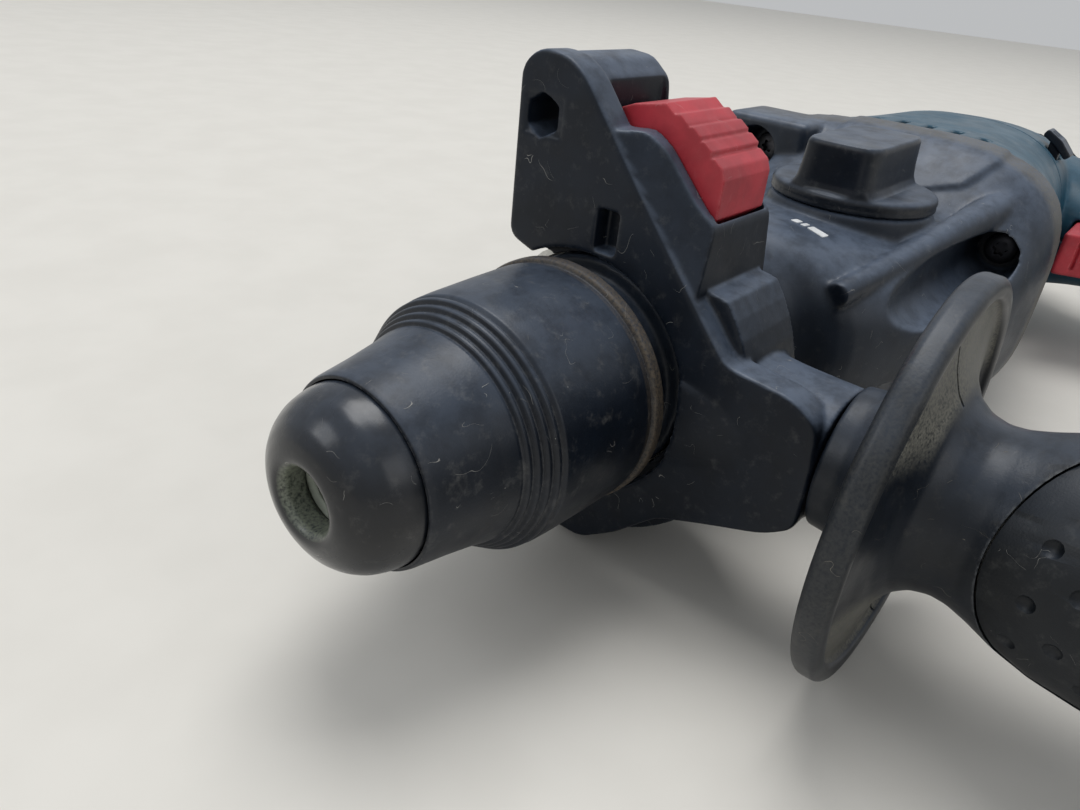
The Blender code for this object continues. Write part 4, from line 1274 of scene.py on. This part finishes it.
@dataclass
class GearHousing:
    """Front housing with its neck, knob boss, screw scoops and flange, and the marks beside the knob."""

    knob: Point2 = (-100.0, 16.0)
    counter_y: float = 26.0
    flange_x: float = -150.0
    attempts: int = 4
    least_faces: int = 100000
    ledge: tuple[Point2, ...] = ((-149.5, -4.0), (-128.0, -4.0), (-121.5, 6.0), (-119.5, 22.0), (-127.0, 36.0),
                                 (-138.0, 41.0), (-149.5, 41.0))
    sections: tuple[Section, ...] = (
        (-44.0, 0.0, 23.6, 23.6, 2.0),
        (-52.0, 1.5, 27.0, 25.0, 2.05),
        (-60.0, 5.0, 34.0, 25.5, 2.1),
        (-80.0, 9.0, 42.0, 24.5, 2.3),
        (-100.0, 10.5, 46.0, 24.0, 2.5),
        (-117.0, 11.0, 48.5, 26.0, 2.7),
        (-129.0, 11.0, 50.0, 33.0, 3.0),
        (-139.0, 11.0, 50.8, 38.7, 3.4),
        (-150.0, 11.0, 50.8, 40.0, 3.6),
    )

    def scoop(self, y: float, z: float, grow: float) -> bpy.types.Object:
        """Tapered channel that gives a driver its way to one screw.

        Args:
            y: The screw's y.
            z: The screw's z.
            grow: Extra radius.

        Returns:
            The cutter.
        """
        profile = [(-56.0 + grow, 0.0), (-56.0 + grow, 8.6 + grow), (-92.0, 8.4 + grow), (-124.0, 7.2 + grow),
                   (-140.0, 6.5 + grow), (-140.0 - grow, 6.5 + grow), (-140.0 - grow, 0.0)]
        return turned(profile, "scoop", (0, y, z), steps=48)

    def cavity(self) -> bpy.types.Object:
        """Inner space of the housing, clear of the screw channels and open at both ends.

        Returns:
            The cutter.
        """
        inner = [(x, centre, a - 3.0, b - 3.0, power) for x, centre, a, b, power in self.sections[1:]]
        inner[-1] = (self.flange_x - 1.0, *inner[-1][1:])
        space = lofted(inner, "cavity", sides=56, finer=2)
        cut(space, rod(10.8, -63.5, -47.0, (0, self.counter_y, 0), steps=32))
        join(space, turned([(1.0, 0.0), (1.0, 17.5), (-9.0, 17.5), (-9.0, 19.5), (-54.0, 19.5), (-54.0, 0.0)],
                           "bore", steps=64), rod(8.3, -66.0, -56.5, (0, self.counter_y, 0), steps=32))
        for y, z in screw_places():
            cut(space, self.scoop(y, z, 2.1), rod(8.6, -160.0, -136.0, (0, y, z), steps=32))
        return space

    def moulding(self) -> bpy.types.Object:
        """The housing with its cavity, scoops and holes, melted into one surface.

        Returns:
            The moulding.
        """
        shell = lofted(self.sections, "gear_housing_look", sides=112, finer=4)
        neck = turned([(-3.0, 0.0), (-3.0, 20.0), (-3.5, 20.5), (-8.0, 20.5), (-8.0, 23.6), (-8.4, 24.0), (-50.0, 24.0),
                       (-50.0, 0.0)], "neck")
        x, y = self.knob
        boss = turned([(26.8, 0.0), (26.8, 20.4), (26.0, 21.0), (17.0, 22.4), (8.0, 25.0), (8.0, 0.0)], "boss",
                      (x, y, 0), Axis.Z)
        join(shell, neck, boss)
        for side in Side:
            shoulder = sided((-149.6, -37.5, 12.0), (-125.2, -9.5, 38.2), side, bevel=2.6)
            ridge = self.strut(Vector((-149.0, 48.4, 28.6 * side.value)), Vector((-57.0, 32.5, 14.8 * side.value)),
                               5.2, 3.0)
            join(shell, shoulder, ridge)
        raised = lofted(self.sections, "raised", grow=0.9, sides=112, finer=4)
        ledge = plate(rounded(self.ledge, 2.0, 4), 5.0, 60.0, "ledge", Axis.Z)
        join(shell, combined(raised, ledge, "INTERSECT"))
        cut(shell, self.cavity())
        join(shell, block((-149.4, -4.0, -40.0), (-140.6, 26.0, -34.0)))
        cut(shell, rod(22.0, 26.8, 60.0, (x, y, 0), Axis.Z), rod(7.4, 10.0, 30.0, (x, y, 0), Axis.Z))
        for y, z in screw_places():
            cut(shell, self.scoop(y, z, 0.0), rod(2.6, -152.0, -138.0, (0, y, z), steps=24))
        cut(shell, block((-160.0, -60.0, -60.0), (self.flange_x, 80.0, 60.0)))
        return moulded(shell, 0.7, 5, 0.5)

    def shell(self) -> None:
        """The moulded housing; the cuts now and then fail and leave too little, and are then made again."""
        shell = self.moulding()
        for attempt in range(self.attempts):
            if len(shell.data.polygons) > self.least_faces:
                break
            LOG.warning("gear_housing_look: only %d faces, attempt %d", len(shell.data.polygons), attempt + 1)
            bpy.data.objects.remove(shell, do_unlink=True)
            shell = self.moulding()
        finished(shell, "gear_housing_look", Finish.CHARCOAL, "housing", ["gear_housing"],
                 smooth=60, soil=lambda spot: max(0.0, min(0.6, (-139.0 - spot.x) / 5.0)))

    @staticmethod
    def strut(start: Vector, end: Vector, first_r: float, second_r: float) -> bpy.types.Object:
        """Tapered round bar between two points.

        Args:
            start: Centre of the thick end.
            end: Centre of the thin end.
            first_r: Radius at the start.
            second_r: Radius at the end.

        Returns:
            The bar.
        """
        run = end - start
        bpy.ops.object.select_all(action="DESELECT")
        bpy.ops.mesh.primitive_cone_add(vertices=32, radius1=first_r, radius2=second_r, depth=run.length,
                                        location=(start + end) / 2, rotation=run.to_track_quat("Z", "Y").to_euler())
        thing = bpy.context.object
        bpy.ops.object.transform_apply(location=True, rotation=True, scale=False)
        return thing

    def marks(self) -> None:
        """Three plain pale bars on a slant beside the knob, laid on the housing."""
        shell = bpy.data.objects["gear_housing_look"]
        start, run = Vector((-71.3, 13.2)), Vector((0.200, 0.980))
        across = Vector((-run.y, run.x)) * 1.35
        for number, (shift, length) in enumerate(((0.0, 1.9), (2.8, 1.2), (4.9, 4.6)), 1):
            near, far = start + run * shift, start + run * (shift + length)
            corners = [near - across, far - across, far + across, near + across]
            bar = plate(rounded([tuple(corner) for corner in corners], 0.4, 3), 0.0, 1.0, "mark", Axis.Z)
            with editing(bar) as mesh:
                for vertex in mesh.verts:
                    above = ORIGIN + Vector((vertex.co.x, vertex.co.y, 60.0)) * MM
                    _, spot, _, _ = shell.ray_cast(above, Vector((0, 0, -1)))
                    vertex.co.z = (spot.z - ORIGIN.z) / MM + (0.18 if vertex.co.z > 0.5 else -1.0)
                bmesh.update_edit_mesh(bar.data)
            finished(bar, f"mode_mark_{number}", Finish.MARK, "housing")

    def screws(self) -> None:
        """Pan-head screws with six-lobed recesses at the bottom of their scoops."""
        for number, (y, z) in enumerate(screw_places(), 1):
            profile = [(-136.2, 0.0), (-136.2, 3.2), (-136.7, 4.1), (-137.6, 4.4), (-139.6, 4.4), (-139.6, 2.2),
                       (-168.0, 2.2), (-168.0, 0.0)]
            screw = turned(profile, f"housing_screw_{number}_look", (0, y, z), steps=40)
            cut(screw, plate(six_lobes((y, z), 1.75, 0.35), -138.6, -130.0, "recess"))
            # Their dark steel is partly painted shade of the deep scoops.
            finished(screw, f"housing_screw_{number}_look", Finish.DARK_STEEL_AND_SHADE, "housing",
                     [f"housing_screw_{number}"])

    def build(self) -> None:
        """Build the housing."""
        self.shell()
        self.marks()
        self.screws()


@dataclass
class ModeKnob:
    """Mode knob: low disc with a grip bar across it."""

    at: Point2 = (-100.0, 16.0)

    def build(self) -> None:
        """Build the knob."""
        x, y = self.at
        base = turned([(30.9, 0.0), (30.9, 19.6), (30.4, 20.6), (29.6, 21.0), (28.9, 21.0), (28.7, 20.6), (28.4, 20.6),
                       (28.2, 21.0), (27.2, 21.0), (27.2, 7.0), (20.5, 7.0), (20.5, 0.0)], "base", (x, y, 0), Axis.Z,
                      112)
        bar = lofted(((30.0, x, 20.0, 13.0, 5.0), (31.2, x, 19.4, 11.2, 6.0), (32.8, x, 19.0, 10.2, 7.0),
                      (36.0, x, 18.8, 9.8, 7.0), (41.5, x, 18.6, 9.5, 7.0), (42.5, x, 18.1, 9.0, 7.0)),
                     "bar", Axis.Z, sides=72, finer=1, aside=y)
        keep = rod(20.3, 29.0, 60.0, (x, y, 0), Axis.Z, 96)
        combined(bar, keep, "INTERSECT")
        pin = rod(2.0, 18.7, 21.5, (x, y + 4.5, 0), Axis.Z, 24)
        knob = join(base, bar, pin)
        moulded(knob, 0.36, 4, 0.5)
        finished(knob, "mode_knob_look", Finish.KNOB, "mode_knob", ["mode_knob"], smooth=60)


# ---------------------------------------------------------------- motor casing and handle

@dataclass
class MotorCasing:
    """Teal casing round the motor, with fan vents and a blank panel on each side."""

    wall: float = 2.8
    vents: int = 6
    first_vent_y: float = -13.0
    vent_pitch: float = 8.4
    sections: tuple[Section, ...] = (
        (-150.3, 11.0, 50.0, 39.3, 3.5),
        (-165.0, 10.5, 48.0, 38.8, 3.1),
        (-190.0, 9.5, 44.5, 38.0, 2.8),
        (-232.0, 8.0, 42.0, 37.0, 2.6),
    )

    def build(self) -> None:
        """Build the casing."""
        shell = lofted(self.sections, "motor_housing_look", sides=112, finer=6)
        edged(shell, 0.6, 60, 2)
        inner = [(x, centre, a - self.wall, b - self.wall, power) for x, centre, a, b, power in self.sections]
        inner[0] = (-149.0, *inner[0][1:])
        inner[-1] = (-233.0, *inner[-1][1:])
        space = lofted(inner, "cavity", sides=56, finer=2)
        for y, z in screw_places():
            cut(space, rod(5.8, -170.0, -140.0, (0, y, z), steps=28))
        cut(shell, space)
        for y, z in screw_places():
            cut(shell, rod(2.6, -169.0, -140.0, (0, y, z), steps=20))
        for side in Side:
            for vent in range(self.vents):
                y = self.first_vent_y + self.vent_pitch * vent
                cut(shell, sided((-174.0, y - 1.3, 33.0), (-157.0, y + 1.3, 45.0), side, bevel=1.2))
            cut(shell, sided((-222.0, -7.0, 37.15), (-184.0, 27.0, 45.0), side, bevel=2.5))
        moulded(shell, 0.75, 3, 0.5)
        finished(shell, "motor_housing_look", Finish.TEAL, "housing", ["motor_housing"], smooth=60)


@dataclass
class RearHandle:
    """Rear casing and pistol grip in two halves, with rubber, trigger, buttons, screws and cord inlet."""

    wall: float = 2.8
    gap: float = 0.3
    vents: int = 4
    first_vent_x: float = -262.0
    vent_pitch: float = 6.0
    dimple_r: float = 1.6
    dimple_rows: int = 11
    dimple_pitch: float = 7.0
    dimple_degrees: float = 19.0
    body: tuple[Section, ...] = (
        (-232.3, 8.0, 42.0, 37.0, 2.6),
        (-260.0, 10.0, 40.0, 34.0, 2.5),
        (-285.0, 14.0, 36.0, 29.0, 2.4),
        (-303.0, 17.0, 29.0, 22.0, 2.3),
        (-309.5, 19.0, 21.0, 15.0, 2.2),
        (-312.3, 20.0, 12.0, 8.0, 2.0),
    )
    grip: tuple[Section, ...] = (
        (30.0, -270.0, 32.0, 27.0, 2.4),
        (46.0, -267.0, 30.5, 24.0, 2.4),
        (60.0, -262.5, 27.5, 20.0, 2.4),
        (80.0, -259.0, 23.0, 17.5, 2.4),
        (110.0, -259.0, 21.5, 16.5, 2.4),
        (140.0, -262.0, 23.5, 17.5, 2.5),
        (152.0, -264.0, 27.0, 19.5, 2.6),
        (158.0, -265.0, 27.5, 20.0, 2.6),
        (160.0, -265.0, 25.0, 18.0, 2.6),
    )
    screws: tuple[Point2, ...] = ((-262.0, -17.0), (-262.0, 147.0), (-256.0, 104.0))
    rubber_line: tuple[Point2, ...] = (
        (-330.0, -14.0), (-292.0, -14.0), (-286.0, 6.0), (-293.0, 30.0), (-281.0, 62.0), (-268.0, 84.0),
        (-264.0, 112.0), (-267.0, 146.0), (-330.0, 146.0),
    )

    def solid(self, grow: float, sides: int = 80) -> bpy.types.Object:
        """Body and grip as one solid, enlarged by a margin.

        Args:
            grow: The margin.
            sides: Corners of each section.

        Returns:
            The solid.
        """
        sections = list(self.body)
        sections[-1] = (sections[-1][0] - max(grow, 0.0), *sections[-1][1:])
        body = lofted(sections, "body", grow=grow, sides=sides, finer=3)
        return join(body, lofted(self.grip, "grip", Axis.Y, grow=grow, sides=sides, finer=3))

    def hollow(self) -> bpy.types.Object:
        """Inner space of the two halves, clear of the screw bosses.

        Returns:
            The cutter.
        """
        body = [(x, centre, a - self.wall, b - self.wall, power) for x, centre, a, b, power in self.body]
        body[0] = (-231.0, *body[0][1:])
        body[-1] = (body[-1][0] + self.wall, *body[-1][1:])
        grip = [(y, centre, a - self.wall, b - self.wall, power) for y, centre, a, b, power in self.grip]
        grip[-1] = (grip[-1][0] - self.wall, *grip[-1][1:])
        space = lofted(body, "space", sides=48, finer=1)
        below = lofted(grip, "space", Axis.Y, sides=48, finer=1)
        for x, y in self.screws:
            for part_of_space in (space, below):
                cut(part_of_space, rod(4.6, -60.0, 60.0, (x, y, 0), Axis.Z, 28))
        return join(space, below)

    def half(self, side: Side) -> None:
        """One half of the casing.

        Args:
            side: The side that it is on.
        """
        name = "left_handle_shell" if side is Side.LEFT else "right_handle_shell"
        shell = self.solid(0.0)
        cut(shell, self.hollow())
        combined(shell, sided((-330.0, -60.0, 0.15), (-220.0, 180.0, 60.0), side), "INTERSECT")
        cut(shell, block((-246.0, 54.6, -8.0), (-220.0, 87.8, 8.0)),
            rod(7.9, 150.0, 170.0, (-268.0, 0, 0), Axis.Y, 40))
        for x, y in self.screws:
            cut(shell, rod(2.3, -8.0, 60.0, (x, y, 0), Axis.Z, 24))
            if side is Side.LEFT:
                cut(shell, rod(4.1, 9.0, 60.0, (x, y, 0), Axis.Z, 32))
        if side is Side.LEFT:
            cut(shell, rod(4.6, 8.0, 40.0, (-253.0, 76.0, 0), Axis.Z, 40),
                block((-254.0, 36.0, 18.0), (-237.0, 41.0, 45.0)))
        for vent in range(self.vents):
            x = self.first_vent_x - self.vent_pitch * vent
            cut(shell, sided((x - 1.3, -2.0, 15.0), (x + 1.3, 26.0, 50.0), side, bevel=1.2))
        moulded(shell, 0.75, 4, 0.5)
        finished(shell, f"{name}_look", Finish.TEAL, "housing", [name], smooth=60)

    def rubber(self) -> None:
        """Soft back of the grip with rows of dimples."""
        rubber = self.solid(2.0)
        cut(rubber, self.solid(self.gap))
        combined(rubber, plate(rounded(self.rubber_line, 9.0, 5), -60.0, 60.0, "line", Axis.Z), "INTERSECT")
        moulded(rubber, 0.6, 3, 0.6)
        balls = []
        for row in range(self.dimple_rows):
            y = 66.0 + self.dimple_pitch * row
            for place in range(-4, 5):
                angle = math.pi + math.radians(self.dimple_degrees) * (place + 0.5 * (row % 2))
                way = Vector((math.cos(angle), 0.0, math.sin(angle)))
                start = Vector((-260.0, y, 0.0)) + way * 60.0
                hit, spot, normal, _ = rubber.ray_cast(start, -way)
                if hit and normal.dot(way) > 0.5:
                    balls.append(pressed_ball(spot + normal * (self.dimple_r / 2), self.dimple_r))
        dimpled(rubber, balls)
        finished(rubber, "grip_rubber_look", Finish.RUBBER, "housing", ["grip_rubber"], smooth=45)

    def trigger(self) -> None:
        """Trigger with a finger hollow and a row of fine ribs."""
        outline = rounded([(-213.5, 55.4), (-217.6, 66.0), (-220.6, 76.0), (-221.6, 86.6), (-241.0, 86.6),
                           (-241.0, 55.4)], 2.5, 5)
        trigger = plate(outline, -7.4, 7.4, "trigger", Axis.Z)
        edged(trigger, 2.0, 50, 5)
        for rib in range(5):
            y = 61.0 + 4.2 * rib
            cut(trigger, rod(0.7, -5.0, 5.0, (-215.0 - 0.29 * (y - 58.0) - 0.3, y, 0), Axis.Z, 16))
        moulded(trigger, 0.35, 2, 0.6)
        finished(trigger, "trigger_look", Finish.RED, "trigger", ["trigger"], smooth=50)

    def controls(self) -> None:
        """Lock-on button and direction lever."""
        button = turned(rounded([(11.2, 0.0), (11.2, 4.2), (19.6, 4.2), (20.6, 3.2), (20.1, 1.6), (20.0, 0.0)], 0.5, 3,
                                closed=False), "lock_on_button_look", (-253.0, 76.0, 0), Axis.Z, 48)
        finished(button, "lock_on_button_look", Finish.KNOB, "lock_on_button", ["lock_on_button"])
        outline = [(33.5, 33.9), (38.8, 30.7), (43.2, 26.6), (45.0, 28.2), (40.4, 33.0), (34.8, 36.2)]
        lever = plate(rounded(outline, 0.8, 4), -249.6, -241.6, "lever")
        join(lever, block((-247.6, 36.4, 22.0), (-243.6, 40.6, 33.0)))
        for rib in range(3):
            x = -247.6 + 2.0 * rib
            cut(lever, block((x - 0.35, 36.0, 33.4), (x + 0.35, 40.0, 36.5)))
        moulded(lever, 0.25, 2, 0.6)
        finished(lever, "direction_lever_look", Finish.KNOB, "direction_lever",
                 ["direction_lever"], smooth=50)

    def details(self) -> None:
        """Handle screws and the cord's inlet."""
        for number, (x, y) in enumerate(self.screws, 1):
            profile = [(12.6, 0.0), (12.6, 3.2), (12.0, 3.8), (9.4, 3.8), (9.4, 1.9), (-7.0, 1.9), (-7.0, 0.0)]
            screw = turned(profile, f"handle_screw_{number}_look", (x, y, 0), Axis.Z, 40)
            cut(screw, plate(six_lobes((x, y), 1.5, 0.3), 10.6, 20.0, "recess", Axis.Z))
            finished(screw, f"handle_screw_{number}_look", Finish.DARK_STEEL_AND_SHADE, "housing",
                     [f"handle_screw_{number}"])
        inlet = turned(rounded([(167.0, 4.2), (167.0, 8.0), (166.0, 9.0), (160.4, 9.0), (160.4, 7.5), (156.8, 7.5),
                                (156.8, 9.4), (152.5, 9.4), (152.5, 4.2)], 0.4, 3), "cord_inlet_look",
                       (-268.0, 0, 0), Axis.Y, 64)
        finished(inlet, "cord_inlet_look", Finish.RUBBER, "housing", ["cord_inlet"], smooth=40)

    def build(self) -> None:
        """Build the rear handle."""
        for side in Side:
            self.half(side)
        self.rubber()
        self.trigger()
        self.controls()
        self.details()


ASSEMBLIES: tuple[type, ...] = (Chuck, SideHandle, GearHousing, ModeKnob, MotorCasing, RearHandle)


# ---------------------------------------------------------------- studio

@dataclass
class Studio:
    """Pale floor, soft lights and the camera."""

    lens_mm: float = 27.1
    sensor_mm: float = 36.0
    eye: Point3 = (0.24639, 0.01365, 0.11598)
    right: Point3 = (-0.63699, 0.76510, 0.09412)
    down: Point3 = (0.32304, 0.37580, -0.86857)
    ahead: Point3 = (-0.69992, -0.52287, -0.48654)
    floor_m: float = 6.0

    def camera(self) -> None:
        """Place the camera."""
        data = bpy.data.cameras.new("camera")
        data.sensor_fit = "HORIZONTAL"
        data.sensor_width = self.sensor_mm
        data.lens = self.lens_mm
        data.clip_start = 0.01
        data.clip_end = 20.0
        thing = bpy.data.objects.new("camera", data)
        turn = Matrix((self.right, [-value for value in self.down], [-value for value in self.ahead])).transposed()
        thing.matrix_world = Matrix.Translation(self.eye) @ turn.to_4x4()
        bpy.context.scene.collection.objects.link(thing)
        bpy.context.scene.camera = thing

    def floor(self) -> None:
        """Lay the floor."""
        bpy.ops.object.select_all(action="DESELECT")
        bpy.ops.mesh.primitive_plane_add(size=self.floor_m, location=(0, 0, 0))
        thing = bpy.context.object
        thing.name = "floor"
        sheet = ShaderSheet("pale_floor")
        colour = sheet.mix(sheet.window(sheet.noise(30.0, 3.0), 0.3, 0.7), (0.70, 0.68, 0.635), (0.73, 0.71, 0.665))
        sheet.link(colour, sheet.shader.inputs["Base Color"])
        sheet.shader.inputs["Roughness"].default_value = 0.55
        sheet.link(sheet.bump(sheet.noise(0.6, 2.0), 0.03, 0.3), sheet.shader.inputs["Normal"])
        thing.data.materials.append(sheet.material)

    def lamp(self, name: str, at: Point3, aim: Point3, size: float, watts: float, colour: Colour) -> None:
        """Hang one soft square lamp.

        Args:
            name: Its name.
            at: Its place.
            aim: The point that it faces.
            size: Its side in metres.
            watts: Its power.
            colour: Its light's colour.
        """
        data = bpy.data.lights.new(name, "AREA")
        data.size = size
        data.energy = watts
        data.color = colour
        thing = bpy.data.objects.new(name, data)
        thing.location = at
        thing.rotation_euler = (Vector(at) - Vector(aim)).to_track_quat("Z", "Y").to_euler()
        bpy.context.scene.collection.objects.link(thing)

    def build(self) -> None:
        """Set up the camera, floor, lamps and the pale surroundings."""
        self.camera()
        self.floor()
        self.lamp("overhead", (-0.35, -0.50, 2.20), (0.0, 0.0, 0.03), 1.3, 27.0, (1.0, 0.99, 0.97))
        self.lamp("front", (1.10, -0.70, 0.90), (0.05, -0.03, 0.03), 0.6, 2.8, (0.96, 0.98, 1.0))
        self.lamp("side", (0.10, 1.30, 0.80), (0.05, 0.0, 0.03), 0.8, 1.8, (1.0, 0.99, 0.98))
        world = bpy.data.worlds.new("surroundings")
        world.use_nodes = True
        world.node_tree.nodes["Background"].inputs["Color"].default_value = (0.96, 0.98, 1.0, 1.0)
        world.node_tree.nodes["Background"].inputs["Strength"].default_value = 0.52
        bpy.context.scene.world = world
        bpy.context.scene.view_settings.view_transform = "Standard"


def main() -> None:
    """Build the tool and its studio."""
    logging.basicConfig(level=logging.INFO, format="%(name)s %(message)s")
    Studio().build()
    dress_cad_nodes()
    for assembly in ASSEMBLIES:
        assembly().build()


if __name__ == "__main__":
    main()
